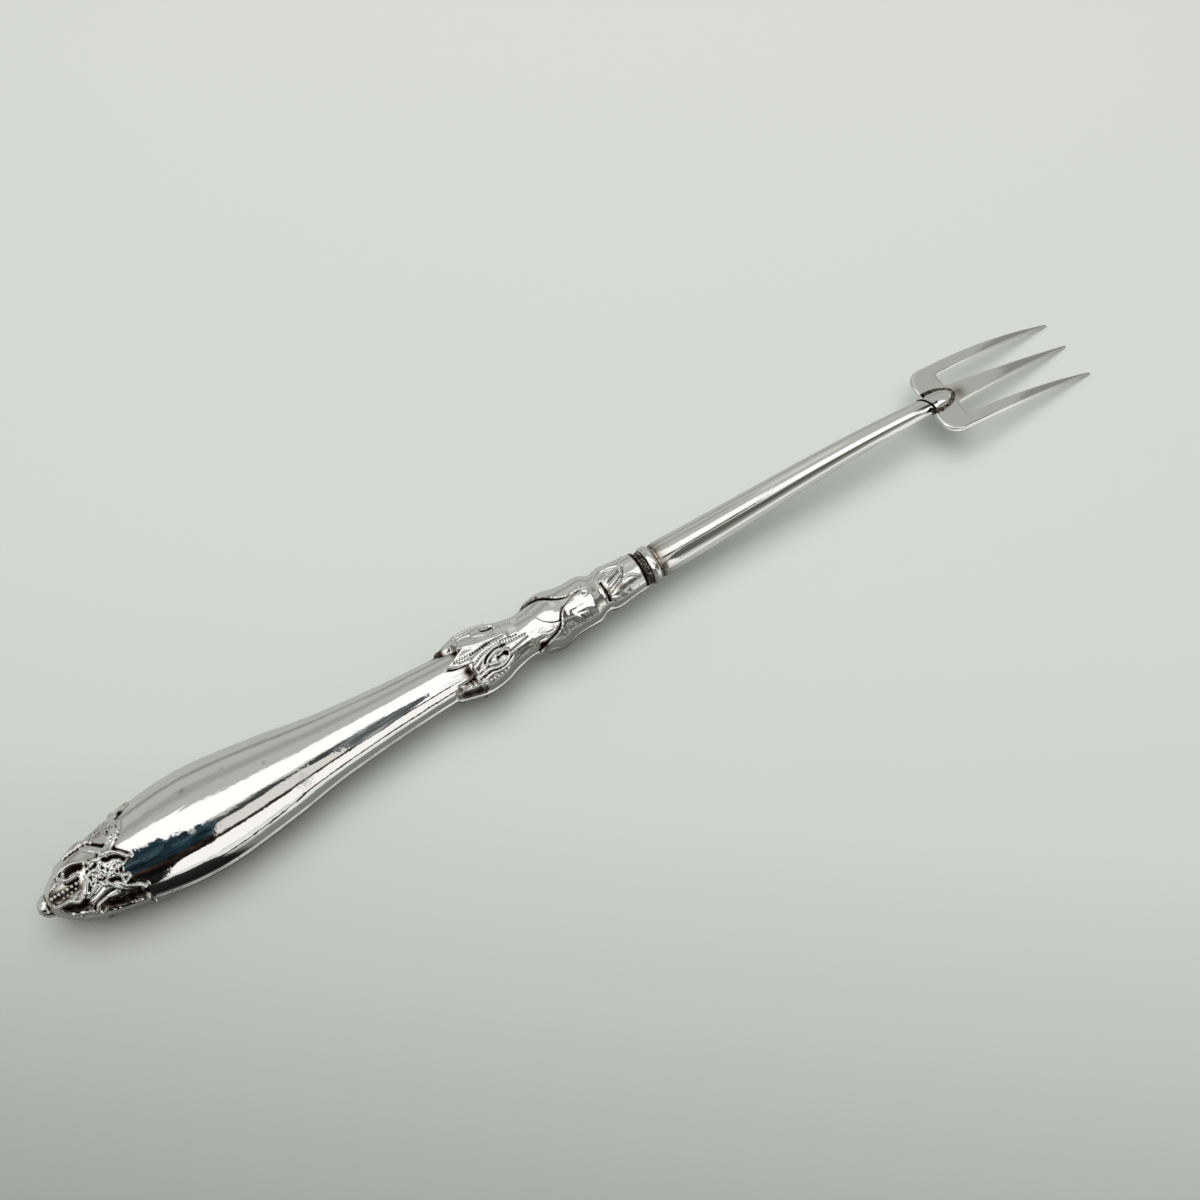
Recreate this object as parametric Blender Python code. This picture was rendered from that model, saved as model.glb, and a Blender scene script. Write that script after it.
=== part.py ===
"""Hollow-handle pickle fork, lying belly down on a table, one object per physical piece.

Metres. +X runs from the butt to the tine tips, +Z is up, the table is z = 0 and the origin
lies on the table under the middle of the fork.
"""

import math

import bmesh
import bpy
from mathutils import Matrix, Vector

# Driving dimensions
OVERALL_LENGTH = 0.2000
HANDLE_LENGTH = 0.1059
HANDLE_WIDTH = 0.0177
HANDLE_THICKNESS = 0.0147
SHELL_WALL = 0.0006
SEAM_GAP = 0.0003
BEAD_DIAMETER = 0.0038
BEAD_PEG_LENGTH = 0.0020
CEMENT_WIDTH = 0.0013
RING_WIDTH = 0.0016
SPACER_WIDTH = 0.0005
TANG_DIAMETER = 0.0030
TANG_IN_HANDLE = 0.0450
TANG_IN_SHANK = 0.0100
SHANK_ROOT_DIAMETER = 0.0063
SHANK_TIP_DIAMETER = 0.0031
SHANK_BOW = 0.00125
LAP_LENGTH = 0.0054
HEAD_WIDTH = 0.0140
TINE_LENGTH = 0.0272
SLOT_WIDTH = 0.0025
MIDDLE_TINE_WIDTH = 0.0042
PLATE_THICKNESS = 0.0010
TIP_WIDTH = 0.0003
TINE_SPLAY = 0.0004
TIP_LEAN = 0.0007
SOLDER_WIDTH = 0.0011
SOLDER_HEIGHT = 0.00035
CLEARANCE = 0.00005

# The handle's outline seen from above: share of the handle's length, share of its greatest half width
HANDLE_OUTLINE = (
    (0.000, 0.233), (0.006, 0.294), (0.018, 0.412), (0.032, 0.522), (0.052, 0.631), (0.076, 0.712),
    (0.100, 0.782), (0.122, 0.851), (0.126, 0.855), (0.130, 0.846), (0.150, 0.900), (0.190, 0.969),
    (0.234, 1.000), (0.271, 0.980), (0.305, 0.934), (0.341, 0.875), (0.379, 0.808), (0.415, 0.726),
    (0.452, 0.655), (0.489, 0.604), (0.545, 0.539), (0.601, 0.490), (0.643, 0.463), (0.654, 0.451),
    (0.658, 0.509), (0.677, 0.575), (0.692, 0.623), (0.707, 0.644), (0.723, 0.627), (0.739, 0.580),
    (0.755, 0.510), (0.770, 0.461), (0.787, 0.427), (0.802, 0.430), (0.817, 0.471), (0.835, 0.553),
    (0.849, 0.548), (0.864, 0.502), (0.881, 0.488), (0.897, 0.493), (0.908, 0.483), (0.925, 0.394),
    (0.943, 0.438), (0.967, 0.407), (0.983, 0.386), (1.000, 0.371),
)
# Where the ornament's leaf tips lie along the handle, as shares of its length
BUTT_BORDER = 0.126
BUTT_BORDER_REACH = 0.045
BUTT_TIP_DEPTH = 0.019
THROAT_EDGE = 0.656
THROAT_REACH_BACK = 0.020
THROAT_REACH_FRONT = 0.075
THROAT_TIP_DEPTH = 0.031
HALF_SEGMENTS = 20

# Positions along the fork, from the butt
SHELL_X = 0.58 * BEAD_DIAMETER
MOUTH_X = SHELL_X + HANDLE_LENGTH
RING_X = MOUTH_X + CEMENT_WIDTH
SPACER_X = RING_X + RING_WIDTH
SHANK_X = SPACER_X + SPACER_WIDTH
SLOT_X = OVERALL_LENGTH - TINE_LENGTH
HEEL_X = SLOT_X - LAP_LENGTH
BOW_END_X = HEEL_X + 0.25 * LAP_LENGTH

# Sizes that follow from the ones above
HALF_WIDTH = HANDLE_WIDTH / 2
AXIS_HEIGHT = (HANDLE_THICKNESS + SEAM_GAP) / 2
MOUTH_RADIUS = HANDLE_OUTLINE[-1][1] * HALF_WIDTH
BUTT_BORE = HANDLE_OUTLINE[0][1] * HALF_WIDTH - SHELL_WALL
MOUTH_BORE = MOUTH_RADIUS - SHELL_WALL
TANG_HOLE = TANG_DIAMETER / 2 + CLEARANCE
HEEL_SLOPE = -6.75 * SHANK_BOW / (BOW_END_X - SHANK_X)
TIP_THICKNESS = 0.5 * PLATE_THICKNESS


def at(x, y, z):
    """A point given from the butt and the fork's axis, in the table's frame."""
    return Vector((x - OVERALL_LENGTH / 2, y, z + AXIS_HEIGHT))


def smooth(value):
    value = min(1.0, max(0.0, value))
    return value * value * (3 - 2 * value)


def outline_width(share):
    """Half width of the handle at a share of its length, straight between the outline's points."""
    for (x0, r0), (x1, r1) in zip(HANDLE_OUTLINE, HANDLE_OUTLINE[1:]):
        if share <= x1:
            return HALF_WIDTH * (r0 + (r1 - r0) * (share - x0) / (x1 - x0))
    return HALF_WIDTH * HANDLE_OUTLINE[-1][1]


def half_height(half_width):
    """Half height of the handle's section, which is round at the mouth and oval at the swelling."""
    swell = max(0.0, (half_width - MOUTH_RADIUS) / (HALF_WIDTH - MOUTH_RADIUS))
    return half_width + (HANDLE_THICKNESS - HANDLE_WIDTH) / 2 * swell


def throat_shift(share):
    """How far the notches between the throat's leaves are pushed along at this place."""
    back = (share - THROAT_EDGE + THROAT_REACH_BACK) / THROAT_REACH_BACK
    front = (THROAT_EDGE + THROAT_REACH_FRONT - share) / THROAT_REACH_FRONT
    return THROAT_TIP_DEPTH * smooth(min(back, front))


def leaf_shift(share, angle):
    """Shift along the handle that draws the pointed leaf edges; angle is from the top."""
    border = smooth(1 - abs(share - BUTT_BORDER) / BUTT_BORDER_REACH)
    butt = BUTT_TIP_DEPTH * border * (1 - abs(math.cos(5 * angle)))
    throat = throat_shift(share) * abs(math.sin(2 * angle))
    return butt + throat


def bore(share):
    """Inside half width and half height of the shells, kept clear of the notches between the leaves."""
    notched = throat_shift(share) > 0 or throat_shift(share - THROAT_TIP_DEPTH) > 0
    reach = THROAT_TIP_DEPTH if notched else 0.0
    steps = 8
    lowest = min(outline_width(share - reach * i / steps) for i in range(steps + 1))
    return lowest - SHELL_WALL, half_height(lowest) - SHELL_WALL


def centreline(x):
    """Height of the shank and heel above the handle's axis: a slow rise, then a straight fall."""
    if x <= SHANK_X:
        return 0.0
    if x >= BOW_END_X:
        return HEEL_SLOPE * (x - BOW_END_X)
    u = (x - SHANK_X) / (BOW_END_X - SHANK_X)
    return 6.75 * SHANK_BOW * u * u * (1 - u)


def heel_plane(x):
    return HEEL_SLOPE * (x - BOW_END_X)


def material(name, colour, metallic, roughness):
    made = bpy.data.materials.new(name)
    made.use_nodes = True
    shader = made.node_tree.nodes["Principled BSDF"]
    shader.inputs["Base Color"].default_value = (*colour, 1.0)
    shader.inputs["Metallic"].default_value = metallic
    shader.inputs["Roughness"].default_value = roughness
    return made


def finish(name, mesh, surface):
    """Turn a bmesh into a named object with its normals outwards."""
    bmesh.ops.recalc_face_normals(mesh, faces=mesh.faces)
    data = bpy.data.meshes.new(name)
    mesh.to_mesh(data)
    mesh.free()
    data.materials.append(surface)
    piece = bpy.data.objects.new(name, data)
    bpy.context.scene.collection.objects.link(piece)
    return piece


def loft(name, loops, surface):
    """A solid through closed loops of points, capped at both ends."""
    mesh = bmesh.new()
    rings = [[mesh.verts.new(point) for point in loop] for loop in loops]
    for ring, following in zip(rings, rings[1:]):
        for i in range(len(ring)):
            j = (i + 1) % len(ring)
            mesh.faces.new((ring[i], ring[j], following[j], following[i]))
    mesh.faces.new(rings[0])
    mesh.faces.new(rings[-1])
    return finish(name, mesh, surface)


def oval_ring(x, wide, high, rise=0.0, segments=2 * HALF_SEGMENTS):
    """A closed ring of points across the fork, with its centre at a height above the axis."""
    turns = [2 * math.pi * i / segments for i in range(segments)]
    return [at(x, wide * math.sin(turn), rise + high * math.cos(turn)) for turn in turns]


def turned(name, outline, surface, closed, segments=2 * HALF_SEGMENTS):
    """A solid turned about the fork's axis from (x, radius) points."""
    mesh = bmesh.new()
    verts = [mesh.verts.new(at(x, 0, radius)) for x, radius in outline]
    edges = [mesh.edges.new(pair) for pair in zip(verts, verts[1:])]
    if closed:
        edges.append(mesh.edges.new((verts[-1], verts[0])))
    bmesh.ops.spin(mesh, geom=verts + edges, cent=at(0, 0, 0), axis=(1, 0, 0),
                   angle=2 * math.pi, steps=segments, use_merge=True)
    bmesh.ops.remove_doubles(mesh, verts=mesh.verts, dist=1e-7)
    return finish(name, mesh, surface)


def shell_shares():
    """Places along the handle that get a ring of points: every outline point."""
    return [share for share, _ in HANDLE_OUTLINE]


def shell_arc(share, outside):
    """Half a ring of points over the axis, from one seam to the other."""
    wide, high = (outline_width(share), half_height(outline_width(share))) if outside else bore(share)
    points = []
    for i in range(HALF_SEGMENTS + 1):
        angle = math.pi * (i / HALF_SEGMENTS - 0.5)
        shift = leaf_shift(share, angle) if outside else 0.0
        x = SHELL_X + HANDLE_LENGTH * (share + shift)
        points.append(Vector((x, wide * math.sin(angle), high * math.cos(angle))))
    return points


def handle_shell(name, turn, surface):
    """One stamped half of the handle; turn is the angle about the fork's axis."""
    place = Matrix.Translation(at(0, 0, 0)) @ Matrix.Rotation(turn, 4, "X")
    lift = Vector((0, 0, SEAM_GAP / 2))
    mesh = bmesh.new()
    outer, inner = [], []
    for share in shell_shares():
        outer.append([mesh.verts.new(place @ (p + lift)) for p in shell_arc(share, True)])
        inner.append([mesh.verts.new(place @ (p + lift)) for p in shell_arc(share, False)])
    for skin in (outer, inner):
        for ring, following in zip(skin, skin[1:]):
            for i in range(HALF_SEGMENTS):
                mesh.faces.new((ring[i], ring[i + 1], following[i + 1], following[i]))
    for end in (0, -1):
        for i in range(HALF_SEGMENTS):
            mesh.faces.new((outer[end][i], outer[end][i + 1], inner[end][i + 1], inner[end][i]))
    for seam in (0, -1):
        for k in range(len(outer) - 1):
            mesh.faces.new((outer[k][seam], outer[k + 1][seam], inner[k + 1][seam], inner[k][seam]))
    return finish(name, mesh, surface)


def seam_solder(name, side, surface):
    """The solder between the two halves, on the side given as +1 or -1 along Y."""
    half = SEAM_GAP / 2 - CLEARANCE
    loops = []
    for share in shell_shares():
        outer = shell_arc(share, True)[-1]
        inner = shell_arc(share, False)[-1]
        corners = ((outer, -half), (outer, half), (inner, half), (inner, -half))
        loops.append([at(point.x, side * point.y, z) for point, z in corners])
    return loft(name, loops, surface)


def butt_bead(surface):
    """A turned bead whose peg goes into the shells' butt end."""
    radius = BEAD_DIAMETER / 2
    back = SHELL_X - CLEARANCE
    peg = BUTT_BORE - CLEARANCE
    last = math.acos((radius - back) / radius)
    steps = 10
    outline = [(radius - radius * math.cos(last * i / steps), radius * math.sin(last * i / steps))
               for i in range(steps + 1)]
    outline += [(back, peg), (SHELL_X + BEAD_PEG_LENGTH, peg), (SHELL_X + BEAD_PEG_LENGTH, 0.0)]
    return turned("butt_bead", outline, surface, closed=False, segments=24)


def pitch_core(surface):
    """The filling between the shells, with a blind hole for the tang."""
    first = (BEAD_PEG_LENGTH + CLEARANCE) / HANDLE_LENGTH
    last = 1 - 2 * CEMENT_WIDTH / HANDLE_LENGTH
    shares = [first] + [share for share in shell_shares() if first < share < last] + [last]
    hole_end = MOUTH_X - TANG_IN_HANDLE - CLEARANCE
    mouth = SHELL_X + HANDLE_LENGTH * last
    loops = [oval_ring(x, TANG_HOLE, TANG_HOLE) for x in (hole_end, mouth)]
    for share in reversed(shares):
        wide, high = bore(share)
        loops.append(oval_ring(SHELL_X + HANDLE_LENGTH * share, wide - CLEARANCE, high - CLEARANCE))
    return loft("pitch_core", loops, surface)


def tang(surface):
    """The steel rod from the filling through the collar into the shank."""
    radius = TANG_DIAMETER / 2
    start = MOUTH_X - TANG_IN_HANDLE
    end = SHANK_X + TANG_IN_SHANK
    outline = [(start, 0.0), (start, radius), (end, radius), (end, 0.0)]
    return turned("tang", outline, surface, closed=False, segments=24)


def mouth_cement(surface):
    """Cement plugging the mouth, with the band that shows between mouth and ring."""
    plug = MOUTH_BORE - CLEARANCE
    start = MOUTH_X - 2 * CEMENT_WIDTH + CLEARANCE
    lip = MOUTH_X + CLEARANCE
    end = RING_X - CLEARANCE
    band = 0.94 * MOUTH_RADIUS
    outline = [(start, TANG_HOLE), (start, plug), (lip, plug), (lip, band), (end, band), (end, TANG_HOLE)]
    return turned("mouth_cement", outline, surface, closed=True)


def bolster_ring(surface):
    """A ring with a rounded rim."""
    rim = RING_WIDTH / 2
    top = 1.03 * MOUTH_RADIUS
    centre = RING_X + rim
    steps = 8
    outline = [(RING_X, TANG_HOLE)]
    for i in range(steps + 1):
        angle = math.pi * i / steps
        outline.append((centre - rim * math.cos(angle), top - rim + rim * math.sin(angle)))
    outline.append((SPACER_X, TANG_HOLE))
    return turned("bolster_ring", outline, surface, closed=True)


def collar_solder(surface):
    """The thin joint between ring and shank."""
    start = SPACER_X + CLEARANCE
    end = SHANK_X - CLEARANCE
    rim = 0.80 * MOUTH_RADIUS
    outline = [(start, TANG_HOLE), (start, rim), (end, rim), (end, TANG_HOLE)]
    return turned("collar_solder", outline, surface, closed=True)


def shank_radius(x):
    """A straight taper, drawn in a little at the collar."""
    share = (x - SHANK_X) / (HEEL_X - SHANK_X)
    taper = SHANK_ROOT_DIAMETER + (SHANK_TIP_DIAMETER - SHANK_ROOT_DIAMETER) * share
    return taper / 2 * (1 - 0.07 * math.exp(-share * 40))


def tongue_half_width(x):
    """Half width of the tongue over the head, rounded off at its end."""
    share = (x - HEEL_X) / LAP_LENGTH
    return SHANK_TIP_DIAMETER / 2 * math.sqrt(max(0.0, 1 - share ** 4))


def shank_section(x):
    """Half width and half height of the shank at x."""
    if x <= HEEL_X:
        return shank_radius(x), shank_radius(x)
    share = (x - HEEL_X) / LAP_LENGTH
    full = SHANK_TIP_DIAMETER / 2
    thin = PLATE_THICKNESS / 2 + 0.0004
    return tongue_half_width(x), full + (thin - full) * share


def shank(surface):
    """The bowed shank: bored for the tang, its end cut to a tongue that laps the head."""
    segments = 20
    body = [SHANK_X + (HEEL_X - SHANK_X) * (i / 24) ** 1.3 for i in range(25)]
    tongue = [HEEL_X + LAP_LENGTH * share for share in (0.2, 0.4, 0.6, 0.75, 0.87, 0.95, 0.985)]
    hole_end = SHANK_X + TANG_IN_SHANK + CLEARANCE
    loops = [oval_ring(x, TANG_HOLE, TANG_HOLE, segments=segments) for x in (hole_end, SHANK_X)]
    for x in body + tongue:
        wide, high = shank_section(x)
        loops.append(oval_ring(x, wide, high, centreline(x), segments))
    piece = loft("shank", loops, surface)
    lap_cutter = under_heel_block()
    cut = piece.modifiers.new("lap", "BOOLEAN")
    cut.operation = "DIFFERENCE"
    cut.solver = "EXACT"
    cut.object = lap_cutter
    return piece


def under_heel_block():
    """The space of the head and everything square below it, taken out of the shank's end."""
    start = HEEL_X - CLEARANCE
    end = SLOT_X + 2 * LAP_LENGTH
    wide = HEAD_WIDTH / 2
    deep = 4 * SHANK_TIP_DIAMETER
    rise = PLATE_THICKNESS / 2 + CLEARANCE
    loops = []
    for x in (start, end):
        top = heel_plane(x) + rise
        corners = ((x, -wide, top), (x, wide, top))
        low_x = x + HEEL_SLOPE * deep
        corners += ((low_x, wide, top - deep), (low_x, -wide, top - deep))
        loops.append([at(*corner) for corner in corners])
    block = loft("lap_cutter", loops, bpy.data.materials["silver"])
    block.hide_render = True
    block.display_type = "WIRE"
    return block


def plate_height(x):
    """Height of the head's middle surface: flat heel, then tines curving down to the table."""
    if x <= SLOT_X:
        return heel_plane(x)
    along = x - SLOT_X
    fall = -AXIS_HEIGHT + TIP_THICKNESS / 2 - heel_plane(OVERALL_LENGTH)
    return heel_plane(x) + fall * (along / TINE_LENGTH) ** 2


def tine_edges(side, share):
    """Both long edges of a tine; side is +1, 0 or -1 along Y."""
    if side == 0:
        half = MIDDLE_TINE_WIDTH / 2 + (TIP_WIDTH - MIDDLE_TINE_WIDTH) / 2 * share ** 0.9
        return -half, half
    root_in = MIDDLE_TINE_WIDTH / 2 + SLOT_WIDTH
    root_width = HEAD_WIDTH / 2 - root_in
    half = root_width / 2 + (TIP_WIDTH - root_width) / 2 * share ** 1.7
    splay = TINE_SPLAY * share * (2 - share)
    middle = side * (root_in + root_width / 2 + splay) - TIP_LEAN * share ** 3
    return middle - half, middle + half


def heel_half_width(x):
    """Half width of the heel, with rounded shoulders."""
    corner = min(0.43 * HEAD_WIDTH / 2, 0.6 * LAP_LENGTH)
    inset = max(0.0, 1 - (x - HEEL_X) / corner)
    return HEAD_WIDTH / 2 - corner + corner * math.sqrt(1 - inset * inset)


def fork_head(surface):
    """The sheet head: one grid of quads for the heel, three more for the tines."""
    points, quads = [], []

    def add_row(x, values):
        share = max(0.0, (x - SLOT_X) / TINE_LENGTH)
        half = (PLATE_THICKNESS + (TIP_THICKNESS - PLATE_THICKNESS) * share) / 2
        start = len(points)
        points.extend((x, y, half) for y in values)
        return list(range(start, len(points)))

    def join(row, following):
        for i in range(len(row) - 1):
            quads.append((row[i], row[i + 1], following[i + 1], following[i]))

    tine_y = [edge for side in (-1, 0, 1) for edge in tine_edges(side, 0.0)]
    across = []
    for low, high in zip(tine_y, tine_y[1:]):
        across += [low, (low + high) / 2]
    across.append(tine_y[-1])
    heel_x = [HEEL_X + LAP_LENGTH * share for share in (0, 0.03, 0.1, 0.22, 0.38, 0.6, 1.0)]
    rows = []
    for x in heel_x:
        scale = heel_half_width(x) / (HEAD_WIDTH / 2)
        rows.append(add_row(x, [y * scale for y in across]))
    for row, following in zip(rows, rows[1:]):
        join(row, following)
    tine_steps = 14
    for number, side in enumerate((-1, 0, 1)):
        row = rows[-1][4 * number:4 * number + 3]
        for step in range(1, tine_steps + 1):
            share = step / tine_steps
            low, high = tine_edges(side, share)
            following = add_row(SLOT_X + TINE_LENGTH * share, [low, (low + high) / 2, high])
            join(row, following)
            row = following
    return thick_sheet("fork_head", points, quads, surface)


def thick_sheet(name, points, quads, surface):
    """A solid sheet from points (x, y, half thickness) on the head's middle surface."""
    mesh = bmesh.new()
    top = [mesh.verts.new(at(x, y, plate_height(x) + half)) for x, y, half in points]
    under = [mesh.verts.new(at(x, y, plate_height(x) - half)) for x, y, half in points]
    uses = {}
    for quad in quads:
        mesh.faces.new([top[i] for i in quad])
        mesh.faces.new([under[i] for i in reversed(quad)])
        for i, j in zip(quad, quad[1:] + quad[:1]):
            uses.setdefault(frozenset((i, j)), []).append((i, j))
    for edges in uses.values():
        if len(edges) == 1:
            i, j = edges[0]
            mesh.faces.new((top[j], top[i], under[i], under[j]))
    return finish(name, mesh, surface)


def head_solder(surface):
    """Solder laid round the tongue on top of the head."""
    steps = 12
    side_path = [(share, HEEL_X + LAP_LENGTH * share) for share in
                 (0.12 + 0.88 * math.sin(math.pi / 2 * i / steps) for i in range(steps + 1))]
    path = [(x, tongue_half_width(x)) for _, x in side_path]
    path += [(x, -y) for x, y in reversed(path[:-1])]
    loops = []
    for i, (x, y) in enumerate(path):
        before = path[max(0, i - 1)]
        after = path[min(len(path) - 1, i + 1)]
        away = Vector((before[1] - after[1], after[0] - before[0])).normalized()
        loops.append([])
        for reach, height in ((CLEARANCE, CLEARANCE), (SOLDER_WIDTH, CLEARANCE),
                              (SOLDER_WIDTH, 3 * CLEARANCE), (CLEARANCE, SOLDER_HEIGHT)):
            px = x + away.x * reach
            py = y + away.y * reach
            loops[-1].append(at(px, py, heel_plane(px) + PLATE_THICKNESS / 2 + height))
    return loft("head_solder", loops, surface)


def build():
    for old in list(bpy.data.objects):
        bpy.data.objects.remove(old)
    silver = material("silver", (0.86, 0.85, 0.82), 1.0, 0.12)
    steel = material("steel", (0.45, 0.45, 0.46), 1.0, 0.40)
    pitch = material("pitch", (0.05, 0.03, 0.02), 0.0, 0.60)
    cement = material("cement", (0.08, 0.05, 0.03), 0.0, 0.70)
    solder = material("solder", (0.60, 0.55, 0.48), 1.0, 0.35)
    brazing = material("brazing", (0.55, 0.42, 0.20), 1.0, 0.35)
    handle_shell("handle_upper_shell", 0.0, silver)
    handle_shell("handle_lower_shell", math.pi, silver)
    seam_solder("seam_solder_left", 1, solder)
    seam_solder("seam_solder_right", -1, solder)
    butt_bead(silver)
    pitch_core(pitch)
    tang(steel)
    mouth_cement(cement)
    bolster_ring(silver)
    collar_solder(brazing)
    shank(silver)
    fork_head(silver)
    head_solder(brazing)


build()
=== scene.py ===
"""Looks of the hollow-handle pickle fork: stamped silver shells, shank, head and the joints between them.

Places on the fork are in millimetres from the butt and from the fork's axis. Places on the handle's skin
are pairs: millimetres from the butt, and degrees round the section from its top, plus towards +Y.
"""

import math

import bmesh
import bpy
import numpy as np
from mathutils import Matrix, Vector


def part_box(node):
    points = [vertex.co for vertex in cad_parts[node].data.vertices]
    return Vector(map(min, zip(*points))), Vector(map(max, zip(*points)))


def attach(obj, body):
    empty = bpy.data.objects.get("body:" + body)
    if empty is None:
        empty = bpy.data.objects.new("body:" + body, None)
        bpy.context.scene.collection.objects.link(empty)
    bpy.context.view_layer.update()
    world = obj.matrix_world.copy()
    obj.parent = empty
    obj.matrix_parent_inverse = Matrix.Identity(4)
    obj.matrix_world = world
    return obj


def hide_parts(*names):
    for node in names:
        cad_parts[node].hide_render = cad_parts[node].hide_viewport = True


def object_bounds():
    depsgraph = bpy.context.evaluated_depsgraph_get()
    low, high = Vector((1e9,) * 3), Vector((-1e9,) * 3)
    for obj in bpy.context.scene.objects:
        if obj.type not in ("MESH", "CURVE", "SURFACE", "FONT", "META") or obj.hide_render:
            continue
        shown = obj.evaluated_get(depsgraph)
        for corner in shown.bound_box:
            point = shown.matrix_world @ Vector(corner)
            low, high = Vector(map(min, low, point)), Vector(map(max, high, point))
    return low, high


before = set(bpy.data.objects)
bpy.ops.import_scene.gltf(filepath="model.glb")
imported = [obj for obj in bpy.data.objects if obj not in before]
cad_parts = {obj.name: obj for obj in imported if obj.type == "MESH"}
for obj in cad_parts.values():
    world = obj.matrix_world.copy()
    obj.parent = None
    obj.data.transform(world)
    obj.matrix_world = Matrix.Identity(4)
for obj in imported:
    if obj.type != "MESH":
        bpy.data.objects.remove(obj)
cad_box = [list(corner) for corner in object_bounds()]

# Sizes read from the frame, in millimetres
MM = 0.001
BUTT = cad_box[0][0]


def reach(node):
    """Where a node starts and ends along the fork."""
    low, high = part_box(node)
    return (low.x - BUTT) / MM, (high.x - BUTT) / MM


SHELL_START, SHELL_END = reach("handle_upper_shell")
RING_START, RING_END = reach("bolster_ring")
HEEL_START, TINE_END = reach("fork_head")
SHANK_START = reach("shank")[0]
BEAD_END = reach("butt_bead")[1]
AXIS = (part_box("handle_upper_shell")[1].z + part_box("handle_lower_shell")[0].z) / 2 / MM
HALF_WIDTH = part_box("handle_upper_shell")[1].y / MM
BEAD_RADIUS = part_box("butt_bead")[1].y / MM
RING_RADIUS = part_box("bolster_ring")[1].y / MM
CEMENT_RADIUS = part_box("mouth_cement")[1].y / MM
BRAZE_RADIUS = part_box("collar_solder")[1].y / MM

# Sizes of the metal that the frame's boxes don't give, in millimetres
SEAM = 0.3
SEAM_PROUD = 0.30
WALL = 0.6
FIT = 0.05
HALF_HEIGHT = AXIS - SEAM / 2
BORE_RADIUS = 1.6
SHANK_ROOT_RADIUS = 3.15
SHANK_TIP_RADIUS = 1.55
SHANK_BOW = 1.25
HEAD_HALF_WIDTH = 7.0
LAP = 5.4
PLATE = 1.0
TIP_THICKNESS = 0.5
TIP_WIDTH = 0.3
EDGE_ROUND = 0.38
SLOT_WIDTH = 2.5
MIDDLE_TINE_WIDTH = 4.2
TINE_SPLAY = 0.4
TIP_LEAN = 0.7
TONGUE_FAR = 1.6
TONGUE_NEAR = 1.15
TONGUE_HEIGHT = 1.15
TONGUE_FALL = 0.45
BAND_HALF_WIDTH = 0.38
BAND_HEIGHT = 0.20
CLOT_HALF_WIDTH = 0.55
CLOT_HEIGHT = 0.60
CRACK_SLANT = 0.9
CRACK_HALF_WIDTH = 0.26
CRACK_HALF_DEPTH = 0.20
SLOT_X = HEEL_START + LAP
TINE_LENGTH = TINE_END - SLOT_X
BOW_END = HEEL_START + 0.25 * LAP
# The bow goes by the square of the share of its length times the rest, which this brings to a peak of 1
BOW_SCALE = 27 / 4
HEEL_SLOPE = -BOW_SCALE * SHANK_BOW / (BOW_END - SHANK_START)
# Share of its radius by which the shank is drawn in at its root
SHANK_NECK = 0.07

# The handle's skin under its leaves, and the leaves of the throat: share of length, share of half width
BODY_OUTLINE = (
    (0.000, 0.233), (0.006, 0.294), (0.018, 0.412), (0.032, 0.522), (0.052, 0.625), (0.076, 0.704),
    (0.100, 0.772), (0.126, 0.835), (0.150, 0.893), (0.190, 0.969), (0.234, 1.000), (0.271, 0.980),
    (0.305, 0.934), (0.341, 0.875), (0.379, 0.808), (0.415, 0.726), (0.452, 0.655), (0.489, 0.604),
    (0.545, 0.539), (0.601, 0.490), (0.643, 0.463), (0.680, 0.445), (0.730, 0.428), (0.810, 0.404),
    (0.900, 0.382), (1.000, 0.360),
)
THROAT_OUTLINE = (
    (0.600, 0.440), (0.640, 0.470), (0.658, 0.512), (0.677, 0.575), (0.692, 0.623), (0.707, 0.640),
    (0.723, 0.625), (0.739, 0.580), (0.755, 0.510), (0.770, 0.461), (0.787, 0.427), (0.802, 0.430),
    (0.817, 0.471), (0.835, 0.545), (0.849, 0.542), (0.864, 0.502), (0.881, 0.488), (0.897, 0.493),
    (0.908, 0.483), (0.925, 0.394), (0.943, 0.438), (0.967, 0.407), (0.983, 0.386), (1.000, 0.371),
)
# Edge of the butt's foliage and of the throat's leaves: degrees round, millimetres from the butt
BUTT_EDGE = (
    (-90, 16.3), (-75, 15.8), (-66, 15.7), (-58, 16.5), (-55, 16.7), (-50, 15.5), (-44, 14.3), (-40, 15.0),
    (-33, 15.2), (-28, 14.0), (-22, 14.7), (-16, 16.7), (-12, 16.2), (-6, 15.5), (2, 14.7), (10, 15.6),
    (15, 16.2), (19, 16.8), (28, 17.6), (34, 17.3), (40, 16.5), (44, 17.3), (50, 18.6), (55, 19.4),
    (60, 18.2), (72, 17.2), (90, 16.3),
)
THROAT_EDGE = (
    (-90, 71.4), (-75, 71.7), (-65, 72.4), (-58, 73.4), (-54, 75.1), (-45, 75.2), (-37, 75.6), (-30, 75.4),
    (-24, 75.6), (-18, 75.9), (-15, 74.6), (-11, 73.2), (-4, 72.2), (0, 72.3), (4, 73.3), (9, 74.4),
    (14, 75.4), (20, 74.8), (26, 75.2), (33, 75.0), (38, 73.9), (46, 72.9), (56, 71.9), (70, 71.4),
    (90, 71.4),
)
FOLIAGE_THICKNESS = 0.22
FOLIAGE_EDGE = 0.4
FOLIAGE_RIM_INSET = 0.3
LEAF_EDGE = 0.35
LEAF_RIM_INSET = 0.35
RIM_HEIGHT = 0.16
RIM_WIDTH = 0.22
# The sunk line and painted shadow under the top leaf's tips: its degrees to either side of the top, and sizes
# in millimetres
TOP_LEAF_TIPS = (3, 19)
LEAF_LINE_OFF = 0.25
LEAF_LINE_WIDTH = 0.28
LEAF_LINE_DEPTH = 0.18
# Where the plain belly, the throat and the bulb begin, in millimetres from the butt
BELLY_START = 20.0
THROAT_START = 70.0
BULB_START = 88.0

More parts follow.
